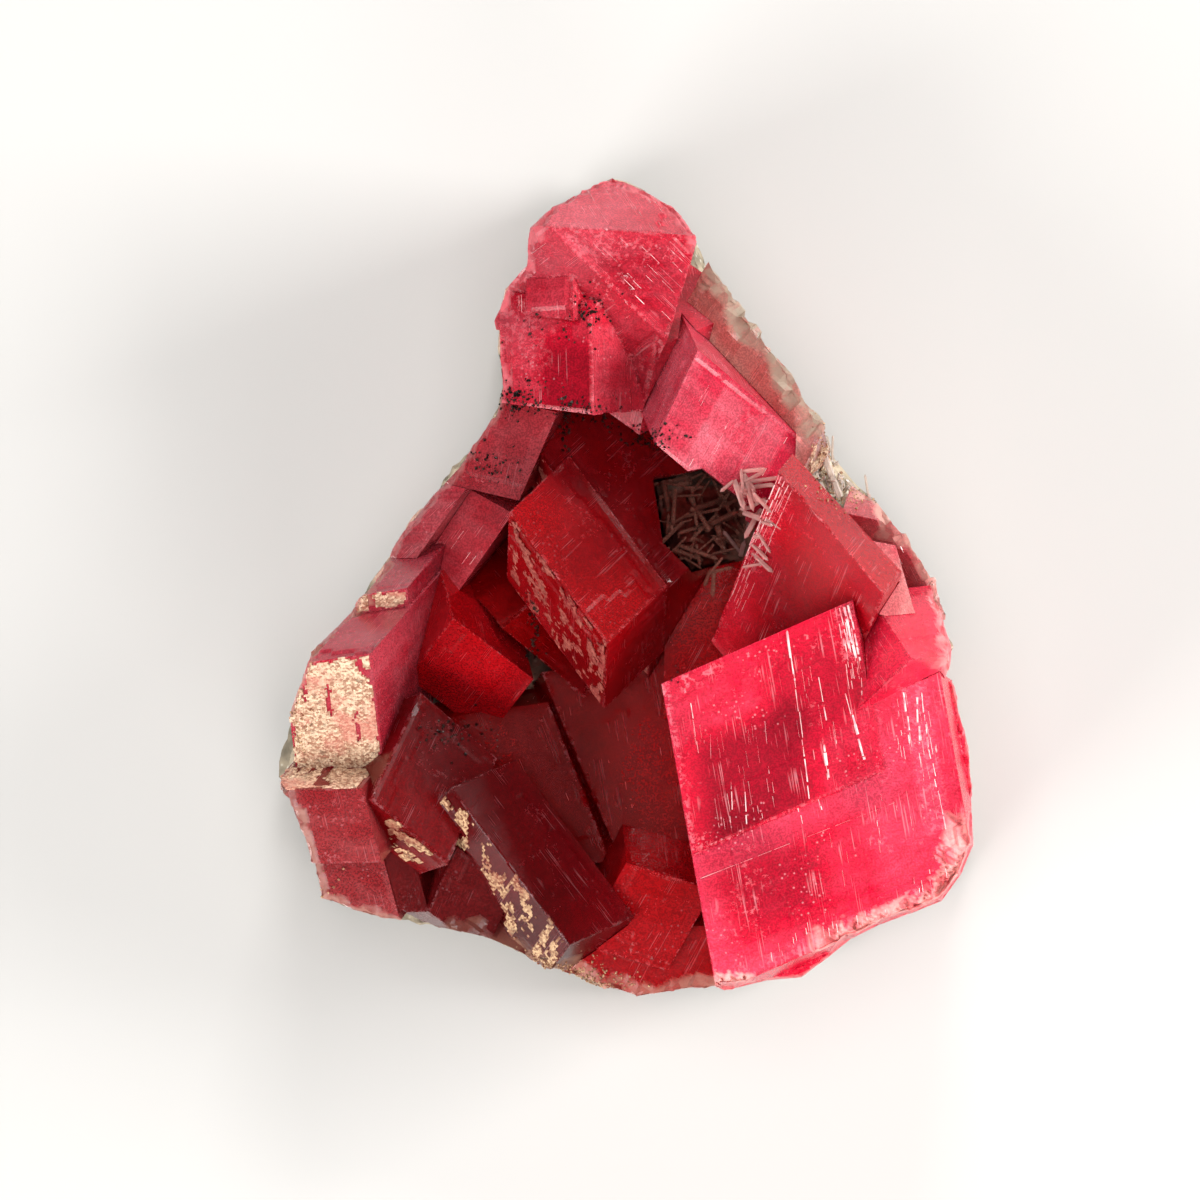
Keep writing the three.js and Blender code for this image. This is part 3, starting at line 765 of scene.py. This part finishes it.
def fill(tree, node, values):
    """Fills a node's sockets by name or number, from another socket or with a constant."""
    for key, value in values.items():
        socket = node.inputs[key]
        if isinstance(value, bpy.types.NodeSocket):
            tree.links.new(value, socket)
        else:
            socket.default_value = value
    return node


def add(tree, kind, values=None, **settings):
    """A new node in a tree, with its properties set and its sockets filled."""
    node = tree.nodes.new(kind)
    for key, value in settings.items():
        setattr(node, key, value)
    return fill(tree, node, values or {})


def maths(tree, operation, first, second):
    """A math node's result."""
    return add(tree, "ShaderNodeMath", {0: first, 1: second}, operation=operation).outputs[0]


def span(tree, value, low, high, to_low=0.0, to_high=1.0):
    """The value moved smoothly from one range to another, and kept within it."""
    values = {0: value, 1: low, 2: high, 3: to_low, 4: to_high}
    return add(tree, "ShaderNodeMapRange", values, interpolation_type="SMOOTHSTEP").outputs[0]


def mix(tree, amount, first, second):
    """Two colours mixed."""
    return add(tree, "ShaderNodeMix", {0: amount, 6: first, 7: second}, data_type="RGBA").outputs[2]


def object_place(tree):
    """The place on the piece, which most textures follow."""
    node = tree.nodes.get("Texture Coordinate") or tree.nodes.new("ShaderNodeTexCoord")
    return node.outputs["Object"]


def attribute(tree, name):
    """A value that the mesh holds at its points."""
    return add(tree, "ShaderNodeAttribute", attribute_name=name).outputs["Fac"]


def cloud(tree, scale, detail, roughness=0.5):
    """Noise all through the piece."""
    values = {"Vector": object_place(tree), "Scale": scale, "Detail": detail, "Roughness": roughness}
    return add(tree, "ShaderNodeTexNoise", values).outputs[0]


def cells(tree, place, scale, **settings):
    """Cells: the distance to the middle of each, and a tone of its own for each."""
    node = add(tree, "ShaderNodeTexVoronoi", {"Vector": place, "Scale": scale}, **settings)
    tone = add(tree, "ShaderNodeSeparateColor", {0: node.outputs["Color"]}).outputs[0]
    return node.outputs["Distance"], tone


def relief(tree, height, strength, depth):
    """The normal of a surface with a relief of a depth in mm."""
    values = {"Height": height, "Strength": strength, "Distance": depth * MM}
    return add(tree, "ShaderNodeBump", values).outputs[0]


def crystal_group():
    """Body colour, roughness and relief of a rhodochrosite face, from its growth coordinates."""
    tree = bpy.data.node_groups.new("rhodochrosite_face", "ShaderNodeTree")
    for side, kind, labels in (
        ("INPUT", "NodeSocketColor", ("Deep", "Pale", "Rim")),
        ("INPUT", "NodeSocketFloat", ("Veil", "Frost", "Lines")),
        ("OUTPUT", "NodeSocketColor", ("Color",)),
        ("OUTPUT", "NodeSocketFloat", ("Roughness", "Height")),
    ):
        for label in labels:
            tree.interface.new_socket(label, in_out=side, socket_type=kind)
    given = tree.nodes.new("NodeGroupInput").outputs
    growth = add(tree, "ShaderNodeUVMap", uv_map="growth").outputs[0]
    wear_and_edge_highlight, rim, tint = (attribute(tree, name) for name in ("wear_and_edge_highlight", "rim", "tint"))

    def stretched(along, down):
        values = {"Vector": growth, "Scale": (along, down, 1.0)}
        return add(tree, "ShaderNodeMapping", values).outputs[0]

    def streaks(along, down):
        values = {"Vector": stretched(along, down), "Scale": 1.0, "Detail": 1.0}
        return add(tree, "ShaderNodeTexNoise", values).outputs[0]

    def times(first, second):
        return maths(tree, "MULTIPLY", first, second)

    def plus(first, second):
        return maths(tree, "ADD", first, second)

    # Broad clouds, growth bands and flat inner planes of paler crystal, with deeper places between.
    pits = cloud(tree, 1500.0, 3.0, 0.75)
    clouds = span(tree, cloud(tree, 90.0, 3.0, 0.6), 0.4, 0.68)
    bands = span(tree, streaks(0.04, 0.5), 0.46, 0.62)
    plane = cells(tree, stretched(0.3, 0.11), 1.0, distance="CHEBYCHEV")[1]
    veil = plus(times(clouds, 0.6), plus(times(bands, 0.25), times(plane, 0.4)))
    veil = plus(times(veil, given["Veil"]), tint)
    veil.node.use_clamp = True
    color = mix(tree, veil, given["Deep"], given["Pale"])
    shade = span(tree, cloud(tree, 60.0, 1.0, 0.55), 0.32, 0.6, 0.6, 1.0)
    speckle = span(tree, cloud(tree, 5600.0, 0.0, 0.55), 0.36, 0.64, 0.74, 1.16)
    mottle = span(tree, pits, 0.34, 0.66, 0.88, 1.06)
    deeper = span(tree, tint, -1.0, 0.0, 0.4, 1.0)
    shade = times(times(shade, deeper), times(speckle, mottle))
    color = add(tree, "ShaderNodeVectorMath", {0: color, 1: shade}, operation="MULTIPLY").outputs[0]
    # Fine growth lines down the faces, in patches.
    fine = span(tree, streaks(5.5, 0.12), 0.58, 0.66)
    patches = span(tree, streaks(0.3, 0.22), 0.52, 0.64)
    lines = times(times(fine, patches), given["Lines"])
    # Frosted, scuffed patches of fine pits, with tiny white nicks among them.
    place_of_scuff = span(tree, cloud(tree, 150.0, 3.0, 0.7), 0.54, 0.68)
    frost = times(times(span(tree, pits, 0.56, 0.64), place_of_scuff), given["Frost"])
    nick = cells(tree, object_place(tree), 1700.0)[0]
    place_of_nicks = span(tree, cloud(tree, 210.0, 1.0, 0.55), 0.52, 0.66)
    nicks = times(times(span(tree, nick, 0.22, 0.14), place_of_nicks), given["Frost"])
    # Worn and scuffed places and the shown edges turn whitish in patches: real wear, and along the edges
    # a painted highlight.
    worn_and_highlit = times(wear_and_edge_highlight, span(tree, pits, 0.5, 0.62))
    white = plus(times(lines, 0.45), times(frost, 0.6))
    white = plus(white, plus(times(nicks, 0.8), times(worn_and_highlit, 0.42)))
    white = maths(tree, "MINIMUM", white, 0.85)
    color = mix(tree, white, color, SCUFF_AND_HIGHLIGHT_COLOR)
    # Broken places: small flat chips, each of its own tone.
    chip_tone = cells(tree, object_place(tree), 760.0)[1]
    tone = plus(times(chip_tone, 0.6), times(pits, 0.8))
    broken = times(rim, span(tree, tone, 0.4, 0.9, 0.35, 1.0))
    roughness = plus(plus(times(frost, 0.5), times(worn_and_highlit, 0.3)), plus(times(lines, 0.3), 0.26))
    fill(tree, tree.nodes.new("NodeGroupOutput"), {
        "Color": mix(tree, broken, color, given["Rim"]),
        "Roughness": plus(roughness, times(broken, 0.25)),
        "Height": plus(pits, times(chip_tone, times(rim, 5.0))),
    })
    return tree


def new_material(name):
    """A material with only its output and a Principled shader."""
    material = bpy.data.materials.new(name)
    material.use_nodes = True
    tree = material.node_tree
    return material, tree, tree.nodes["Principled BSDF"]


def rhodochrosite(name, faces, look):
    """Translucent red crystal."""
    material, tree, shader = new_material(name)
    group = tree.nodes.new("ShaderNodeGroup")
    group.node_tree = faces
    fill(tree, group, {
        "Deep": rgb(*look.deep),
        "Pale": rgb(*look.pale),
        "Rim": rgb(*look.rim_color),
        "Veil": look.veil,
        "Frost": look.frost,
        "Lines": look.lines,
    })
    fill(tree, shader, {
        "Base Color": group.outputs["Color"],
        "Roughness": group.outputs["Roughness"],
        "Normal": relief(tree, group.outputs["Height"], 0.3, 0.03),
        "IOR": CRYSTAL_IOR,
        "Specular IOR Level": 0.25,
        "Transmission Weight": look.clear,
    })
    values = {"Color": ABSORPTION_COLOR, "Density": ABSORPTION}
    absorb = add(tree, "ShaderNodeVolumeAbsorption", values)
    tree.links.new(absorb.outputs[0], tree.nodes["Material Output"].inputs["Volume"])
    return material


def growth_line_material():
    """The pale frosty rhodochrosite of thin raised growth lines."""
    material, tree, shader = new_material("pale_growth_lines")
    frosty = span(tree, cloud(tree, 900.0, 4.0), 0.35, 0.55)
    fill(tree, shader, {
        "Base Color": mix(tree, frosty, rgb(250, 150, 160), rgb(255, 222, 220)),
        "Roughness": 0.35,
        "Transmission Weight": 0.1,
        "IOR": CRYSTAL_IOR,
    })
    return material


def quartz_material(name, dark, light):
    """Clear quartz with slightly ridged prism faces."""
    material, tree, shader = new_material(name)
    ridges = cloud(tree, 1800.0, 3.0)
    fill(tree, shader, {
        "Base Color": mix(tree, ridges, rgb(*dark), rgb(*light)),
        "Normal": relief(tree, ridges, 0.2, 0.03),
        "Roughness": 0.12,
        "IOR": 1.54,
        "Transmission Weight": 0.6,
    })
    return material


def rock_material():
    """Grey and beige broken matrix, with painted shade: darker and redder in the pocket and among the
    crystals.
    """
    material, tree, shader = new_material("matrix_rock")

    def patches(scale, low, high):
        return span(tree, cloud(tree, scale, 3.0, 0.65), low, high)

    color = mix(tree, patches(160.0, 0.35, 0.65), rgb(104, 96, 82), rgb(186, 170, 146))
    color = mix(tree, patches(80.0, 0.52, 0.68), color, rgb(206, 150, 136))
    grains = cells(tree, object_place(tree), 1100.0)[0]
    color = mix(tree, span(tree, grains, 0.3, 0.12, 0.0, 0.6), color, rgb(222, 214, 198))
    color = mix(tree, patches(420.0, 0.6, 0.7), color, rgb(58, 60, 46))
    # Painted shade for the pocket and for the matrix among the crystals: dark reddish brown.
    dark = mix(tree, patches(300.0, 0.4, 0.62), rgb(30, 8, 6), rgb(92, 26, 20))
    fine = maths(tree, "MULTIPLY", cloud(tree, 2200.0, 1.0, 0.65), 0.4)
    height = maths(tree, "ADD", cloud(tree, 600.0, 4.0, 0.65), fine)
    fill(tree, shader, {
        "Base Color": mix(tree, attribute(tree, "painted_matrix_shade"), color, dark),
        "Normal": relief(tree, height, 0.8, 0.3),
        "Roughness": 0.8,
    })
    return material


def crust_material(name, dark, light, stain):
    """Crust of tiny glittering grains, each of its own tone, stained in patches."""
    material, tree, shader = new_material(name)

    def stains(scale, low, high, most):
        return span(tree, cloud(tree, scale, 3.0, 0.65), low, high, 0.0, most)

    distance, tone = cells(tree, object_place(tree), 4200.0)
    color = mix(tree, span(tree, tone, 0.05, 0.95), rgb(*dark), rgb(*light))
    color = mix(tree, stains(190.0, 0.5, 0.66, 0.6), color, rgb(*stain))
    height = maths(tree, "ADD", distance, cloud(tree, 1500.0, 2.0, 0.65))
    fill(tree, shader, {
        "Base Color": mix(tree, stains(700.0, 0.6, 0.68, 0.5), color, rgb(96, 74, 60)),
        "Normal": relief(tree, height, 0.9, 0.12),
        "Roughness": 0.42,
    })
    return material


def sulfide_material():
    """Small metallic grains."""
    material, tree, shader = new_material("dark_sulfide")
    tarnish = cloud(tree, 1200.0, 3.0)
    fill(tree, shader, {
        "Base Color": mix(tree, span(tree, tarnish, 0.4, 0.6), rgb(18, 12, 12), rgb(52, 44, 38)),
        "Normal": relief(tree, tarnish, 0.5, 0.05),
        "Roughness": 0.4,
        "Metallic": 0.3,
    })
    return material


# --- The pieces ---------------------------------------------------------------------------------

def add_values(piece, name, values):
    """A value at every point of a piece, for its material to read."""
    layer = piece.data.attributes.new(name, "FLOAT", "POINT")
    layer.data.foreach_set("value", values)


def make_crystals():
    """Each growth as a fine body in its own crystal material."""
    shared = crystal_group()
    bodies = {}
    for node, look in CRYSTALS.items():
        body = fine_body(node, look)
        material = rhodochrosite(node + "_crystal", shared, look)
        piece = piece_from(node + "_body", body.points, body.triangles, material)
        layer = piece.data.uv_layers.new(name="growth")
        layer.data.foreach_set("uv", np.array(body.places, dtype=np.float32).ravel())
        for name in ("wear_and_edge_highlight", "rim", "tint"):
            add_values(piece, name, getattr(body, name))
        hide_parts(node)
        bodies[node] = body
    return bodies


def make_growth_lines(bodies):
    """Thin raised growth lines on the larger crystals."""
    chance = random.Random(11)
    points = []
    triangles = []
    for node, rank, rows in GROWTH_LINES:
        face = bodies[node].faces[rank]
        for a0, b0, a1, b1, width in rows:
            broken_line(points, triangles, chance, face, (a0, b0), (a1, b1), width)
    for node, rank, a_range, b_range, count, length, width in LINE_PATCHES:
        face = bodies[node].faces[rank]
        for _ in range(count):
            a = chance.uniform(*a_range) * face.size[0]
            b = chance.uniform(*b_range) * face.size[1]
            run = min(length * chance.uniform(0.4, 1.8), 0.97 * face.size[1] - b)
            start, end = (a, b), (a - 0.02 * run, b + run)
            if run > 0.3 and on_face(face, *start, 0.2) and on_face(face, *end, 0.2):
                broken_line(points, triangles, chance, face, start, end, width)
    piece_from("growth_lines", points, triangles, growth_line_material())


def make_matrix():
    """The matrix with its broken, grainy surface."""
    mesh = bmesh.new()
    mesh.from_mesh(NODES["matrix"].data)
    bmesh.ops.remove_doubles(mesh, verts=mesh.verts, dist=MERGE_REACH)
    for _ in range(MATRIX_ROUNDS):
        long_edges = [edge for edge in mesh.edges if edge.calc_length() > MATRIX_SPACING * MM]
        if not long_edges:
            break
        bmesh.ops.subdivide_edges(mesh, edges=long_edges, cuts=1)
        bmesh.ops.triangulate(mesh, faces=mesh.faces)
    mesh.normal_update()
    middle = pocket_middle()
    painted_matrix_shade = []
    turns = [k * INNER_TURN for k in range(6)]
    around = [Vector((math.cos(turn), math.sin(turn), 0)) * INNER_REACH * MM for turn in turns]
    for vert in mesh.verts:
        place = vert.co / MM
        away = math.hypot(place.x - middle.x / MM, place.y - middle.y / MM)
        inside = max(0, min(1, (POCKET_REACH - away) / 1.5))
        beside = [dropped(WHOLE, vert.co.x + step.x, vert.co.y + step.y)[0] for step in around]
        inner = all(spot is not None for spot in beside)
        # Painted shade: the matrix in the pocket, and where crystals stand all round it, is marked for a
        # darker, redder colour.
        painted_matrix_shade.append(max(inside, 0.8 * inner))
        if place.z < 0.05:
            continue
        relief = noise.noise(place * 0.5) + 0.7 * noise.noise(place * 1.6) - 0.35
        relief = min(relief * (0.3 + 0.25 * inside), 0.08)
        vert.co += vert.normal * relief * MM
        vert.co.z = max(vert.co.z, 0)
    mesh.faces.ensure_lookup_table()
    points = [tuple(vert.co) for vert in mesh.verts]
    triangles = [tuple(vert.index for vert in face.verts) for face in mesh.faces]
    mesh.free()
    piece = piece_from("matrix_body", points, triangles, rock_material())
    add_values(piece, "painted_matrix_shade", painted_matrix_shade)
    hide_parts("matrix")


def pocket_middle():
    """The middle of the pocket, from the needles that stand in it."""
    boxes = [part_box("quartz_needle_%d" % number) for number in range(6, 13)]
    return sum(((low + high) / 2 for low, high in boxes), Vector()) / len(boxes)


def add_needle(points, triangles, start, direction, length, width):
    """A closed six-sided needle with a blunt pyramid at its tip."""
    axis = direction.normalized()
    side = axis.orthogonal().normalized()
    other = axis.cross(side)
    base = len(points)
    for along in (0.0, length - 0.8 * width):
        for k in range(6):
            angle = k * math.pi / 3
            reach = (side * math.cos(angle) + other * math.sin(angle)) * width / 2
            points.append(start + (axis * along + reach) * MM)
    points += [start + axis * length * MM, start.copy()]
    for k in range(6):
        low, next_low = base + k, base + (k + 1) % 6
        high, next_high = low + 6, next_low + 6
        triangles += [(low, next_low, next_high), (low, next_high, high),
                      (high, next_high, base + 12), (next_low, low, base + 13)]


def needle_piece(name, material, needles):
    """One piece of many needles: each has its start, its direction, and its length and width in mm."""
    points = []
    triangles = []
    for needle in needles:
        add_needle(points, triangles, *needle)
    piece_from(name, points, triangles, material)


def landing_round(tree, middle, angle, reach):
    """Where something lands that is dropped at an angle and a reach from the middle."""
    return dropped(tree, middle.x + reach * math.cos(angle), middle.y + reach * math.sin(angle))[0]


def pocket_needles(tree, chance, middle):
    """Fine needles all over the floor of the pocket."""
    placed = 0
    while placed < POCKET_NEEDLES:
        angle = chance.uniform(0, 2 * math.pi)
        reach = POCKET_REACH * MM * math.sqrt(chance.random()) * 0.95
        spot = landing_round(tree, middle, angle, reach)
        if spot is None or spot.z > middle.z + 6 * MM:
            placed += 0.2
            continue
        lean = Vector((chance.gauss(0, 1), chance.gauss(0, 1), chance.uniform(0.1, 1.1)))
        start = spot - lean.normalized() * 0.2 * MM
        yield start, lean, chance.uniform(1.2, 4.2), chance.uniform(0.2, 0.5)
        placed += 1


def edge_prisms(tree, chance, middle):
    """Stouter prisms at the right edge of the pocket."""
    for _ in range(EDGE_PRISMS):
        angle = chance.uniform(-0.7, 1.0)
        reach = chance.uniform(4.6, 7.4) * MM
        spot = landing_round(tree, middle, angle, reach)
        if spot is not None:
            lean = Vector((chance.gauss(0.3, 0.8), chance.gauss(-0.4, 0.8), chance.uniform(0.05, 0.5)))
            start = spot - lean.normalized() * 0.3 * MM
            yield start, lean, chance.uniform(1.6, 4.4), chance.uniform(0.3, 0.62)


def rim_needles(tree, chance):
    """Fine needles on the rock beside the peak."""
    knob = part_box("quartz_needle_1")
    root = Vector((knob[1].x, knob[0].y, 0))
    for _ in range(RIM_NEEDLE_TRIES):
        above = root + Vector((chance.uniform(-2, 4.5), chance.uniform(-3.5, 6), 0)) * MM
        spot = dropped(tree, above.x, above.y)[0]
        if spot is None or spot.z < 4 * MM or spot.z > 19.5 * MM:
            continue
        lean = Vector((chance.gauss(-0.4, 0.6), chance.gauss(0.7, 0.6), chance.uniform(0.2, 0.9)))
        yield spot, lean, chance.uniform(0.8, 2.8), chance.uniform(0.2, 0.5)


def make_needles(tree):
    """The larger quartz needles in their materials, and the fine ones round them."""
    quartz = quartz_material("clear_quartz", (222, 196, 182), (252, 240, 230))
    rosy = quartz_material("rosy_quartz", (146, 66, 54), (226, 158, 138))
    pink = quartz_material("pink_quartz", (232, 130, 128), (255, 220, 210))
    middle = pocket_middle()
    for name, node in NODES.items():
        if name.startswith("quartz_needle"):
            in_pocket = (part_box(name)[0] - middle).xy.length < POCKET_REACH * MM
            node.data.materials.clear()
            node.data.materials.append(rosy if in_pocket else quartz)
    chance = random.Random(5)
    needle_piece("pocket_needles", rosy, pocket_needles(tree, chance, middle))
    needle_piece("edge_prisms", pink, edge_prisms(tree, chance, middle))
    needle_piece("rim_needles", quartz, rim_needles(tree, chance))


def crust_cells(face, cover, fine, seed):
    """The lattice cells of a face that its crust covers, by column and row."""
    step = CRUST_SPACING
    columns, rows = (int(size / step) + 1 for size in face.size)
    every = [(i, j) for i in range(columns) for j in range(rows)]
    middles = []
    for i, j in every:
        a, b = (i + 0.5) * step + face.low[0], (j + 0.5) * step + face.low[1]
        middles.append((a + b * face.lean, b * face.rise))
    outline = np.array([face.flat(corner) for corner in face.corners])
    inside, near = inside_polygon(np.array(middles), outline, 0.1)
    limit = 0.95 * (0.5 - cover)
    cells_of = {}
    for (i, j), ok, away in zip(every, inside, near):
        a, b = (i + 0.5) * step, (j + 0.5) * step
        big = noise.noise((a * 0.16 * fine, b * 0.16 * fine, seed))
        big += 0.45 * noise.noise((a * 0.55 * fine, b * 0.55 * fine, seed))
        gap = noise.noise((a * 0.8, b * 0.16, seed + 9)) + 0.3 * noise.noise((a * 2, b * 1.2, seed))
        ragged = 0.25 + 0.5 * noise.noise((a * 0.9, b * 0.9, seed + 5))
        if ok and big > limit * 1.4 and gap < 0.46 and away > ragged:
            cells_of[i, j] = True
    return cells_of


def crust_sheet(points, triangles, face, covered, thickness, seed):
    """A crust with gaps on one face: a bumpy sheet on a lattice, with its sides turned down."""
    step = CRUST_SPACING
    corner_ids = {}

    def corner(i, j, top):
        key = (i, j, top)
        if key not in corner_ids:
            open_side = any((i + di, j + dj) not in covered for di in (-1, 0) for dj in (-1, 0))
            bumps = 0.6 + 0.5 * noise.noise((i * 0.9, j * 0.9, seed))
            bumps += 0.3 * random.Random(i * 977 + j).random()
            lift = thickness * bumps * (0.45 if open_side else 1) if top else -0.06
            wobble = [0.3 * noise.noise((i * 1.7, j * 1.7, k)) for k in (4, 8)]
            points.append(face.point((i + wobble[0]) * step, (j + wobble[1]) * step, lift))
            corner_ids[key] = len(points) - 1
        return corner_ids[key]

    turn = -1 if face.rise < 0 else 1
    for i, j in covered:
        ring = [(i, j), (i + 1, j), (i + 1, j + 1), (i, j + 1)][::turn]
        top = [corner(*at, True) for at in ring]
        triangles += [(top[0], top[1], top[2]), (top[0], top[2], top[3])]
        under = [corner(*at, False) for at in ring]
        triangles += [(under[2], under[1], under[0]), (under[3], under[2], under[0])]
        for k, at in enumerate(ring):
            after = (k + 1) % 4
            run, rise = ring[after][0] - at[0], ring[after][1] - at[1]
            if (i + rise * turn, j - run * turn) not in covered:
                triangles += [(under[k], under[after], top[after]), (under[k], top[after], top[k])]


def make_crusts(bodies, materials):
    """The crusts on the coated faces."""
    for name, material in materials.items():
        points = []
        triangles = []
        for number, (node, facing, cover, thickness, fine, kind) in enumerate(CRUSTS):
            look = Vector(facing).normalized()
            for face in bodies[node].faces:
                if kind == name and face.normal.dot(look) > 0.97 and face.area > 3:
                    covered = crust_cells(face, cover, fine, number * 7.3)
                    crust_sheet(points, triangles, face, covered, thickness, number * 7.3)
        piece_from(name, points, triangles, material)


def add_grain(points, triangles, chance, spot, size):
    """A small angular grain: an octahedron pulled out of shape."""
    angle = chance.uniform(0, 6.28)
    axis = Vector([chance.gauss(0, 1) for _ in range(3)])
    spin = Matrix.Rotation(angle, 3, axis.normalized())
    base = len(points)
    for k in range(3):
        for side in (1, -1):
            tip = Vector((0, 0, 0))
            tip[k] = side * size * chance.uniform(0.6, 1.3) / 2
            points.append(spot + spin @ tip * MM)
    for x in (0, 1):
        for y in (2, 3):
            for z in (4, 5):
                order = (x, y, z) if (x + y + z) % 2 == 0 else (y, x, z)
                triangles.append(tuple(base + k for k in order))


def make_grains(tree, name, rows, sizes, material):
    """Grains dropped on the crystals in clusters."""
    chance = random.Random(len(name))
    points = []
    triangles = []
    for node, share_x, share_y, spread, count in rows:
        low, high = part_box(node)
        for _ in range(count):
            x = low.x + (high.x - low.x) * share_x + chance.gauss(0, spread[0]) * MM
            y = low.y + (high.y - low.y) * share_y + chance.gauss(0, spread[1]) * MM
            spot, normal = dropped(tree, x, y)
            if spot is not None and spot.z > 3 * MM:
                size = chance.uniform(*sizes) * chance.uniform(0.6, 1)
                add_grain(points, triangles, chance, spot + normal * 0.2 * size * MM, size)
    piece_from(name, points, triangles, material)


def tree_of_pieces():
    """A search tree over every piece that stands in the scene."""
    points = []
    triangles = []
    for piece in bpy.context.scene.objects:
        if piece.type == "MESH" and piece.name != "studio_floor" and piece.name not in NODES:
            start = len(points)
            points += [vert.co.copy() for vert in piece.data.vertices]
            triangles += [[start + i for i in face.vertices] for face in piece.data.polygons]
    return BVHTree.FromPolygons(points, triangles)


def make_floor():
    """The floor, which turns into the pale backdrop far away, for the camera alone."""
    bpy.ops.mesh.primitive_plane_add(size=6)
    floor = bpy.context.object
    floor.name = "studio_floor"
    material, tree, shader = new_material("floor_paper")
    place = object_place(tree)
    away = add(tree, "ShaderNodeVectorMath", {0: place}, operation="LENGTH").outputs["Value"]
    seen = add(tree, "ShaderNodeLightPath").outputs["Is Camera Ray"]
    glow = span(tree, away, 0.25, 1.3, 0.0, BACKDROP_GLOW)
    fill(tree, shader, {
        "Base Color": rgb(186, 184, 181),
        "Roughness": 0.9,
        "Emission Color": BACKDROP_COLOR,
        "Emission Strength": maths(tree, "MULTIPLY", glow, seen),
    })
    floor.data.materials.append(material)
    floor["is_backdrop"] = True


def make_studio():
    """Floor, soft lights, a pale backdrop that only the camera sees, and the camera."""
    make_floor()
    scene = bpy.context.scene
    world = bpy.data.worlds.new("studio")
    world.use_nodes = True
    tree = world.node_tree
    seen = add(tree, "ShaderNodeLightPath").outputs["Is Camera Ray"]
    strength = span(tree, seen, 0.0, 1.0, ROOM_LIGHT, BACKDROP_GLOW)
    fill(tree, tree.nodes["Background"], {"Color": BACKDROP_COLOR, "Strength": strength})
    scene.world = world
    target = Vector((0, 0, 0.015))
    for name, at, size, power, mirrored, shines_through in LIGHTS:
        light = bpy.data.lights.new(name, "AREA")
        light.size = size
        light.energy = power
        lamp = bpy.data.objects.new(name, light)
        lamp.location = at
        lamp.visible_glossy = mirrored
        lamp.visible_transmission = shines_through
        lamp.rotation_euler = (target - Vector(at)).to_track_quat("-Z", "Y").to_euler()
        scene.collection.objects.link(lamp)
    camera = bpy.data.cameras.new("camera")
    camera.lens = CAMERA_LENS
    camera.sensor_width = 36
    camera.clip_end = 20
    holder = bpy.data.objects.new("camera", camera)
    holder.location = CAMERA_AT
    scene.collection.objects.link(holder)
    scene.camera = holder
    scene.view_settings.view_transform = "Standard"
    scene.cycles.max_bounces = 8
    scene.cycles.transmission_bounces = 6
    scene.cycles.glossy_bounces = 3
    scene.cycles.diffuse_bounces = 3


make_studio()
BODIES = make_crystals()
make_growth_lines(BODIES)
make_matrix()
CRUST_MATERIALS = {name: crust_material(name, *tones) for name, tones in CRUST_TONES.items()}
make_crusts(BODIES, CRUST_MATERIALS)
SURFACE = tree_of_pieces()
make_needles(SURFACE)
make_grains(SURFACE, "dark_grains", DARK_GRAINS, DARK_SIZES, sulfide_material())
make_grains(SURFACE, "pale_grains", PALE_GRAINS, PALE_SIZES, CRUST_MATERIALS["gold_crust"])

sizes = [[list(corner) for corner in box] for box in (CAD_BOX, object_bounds())]
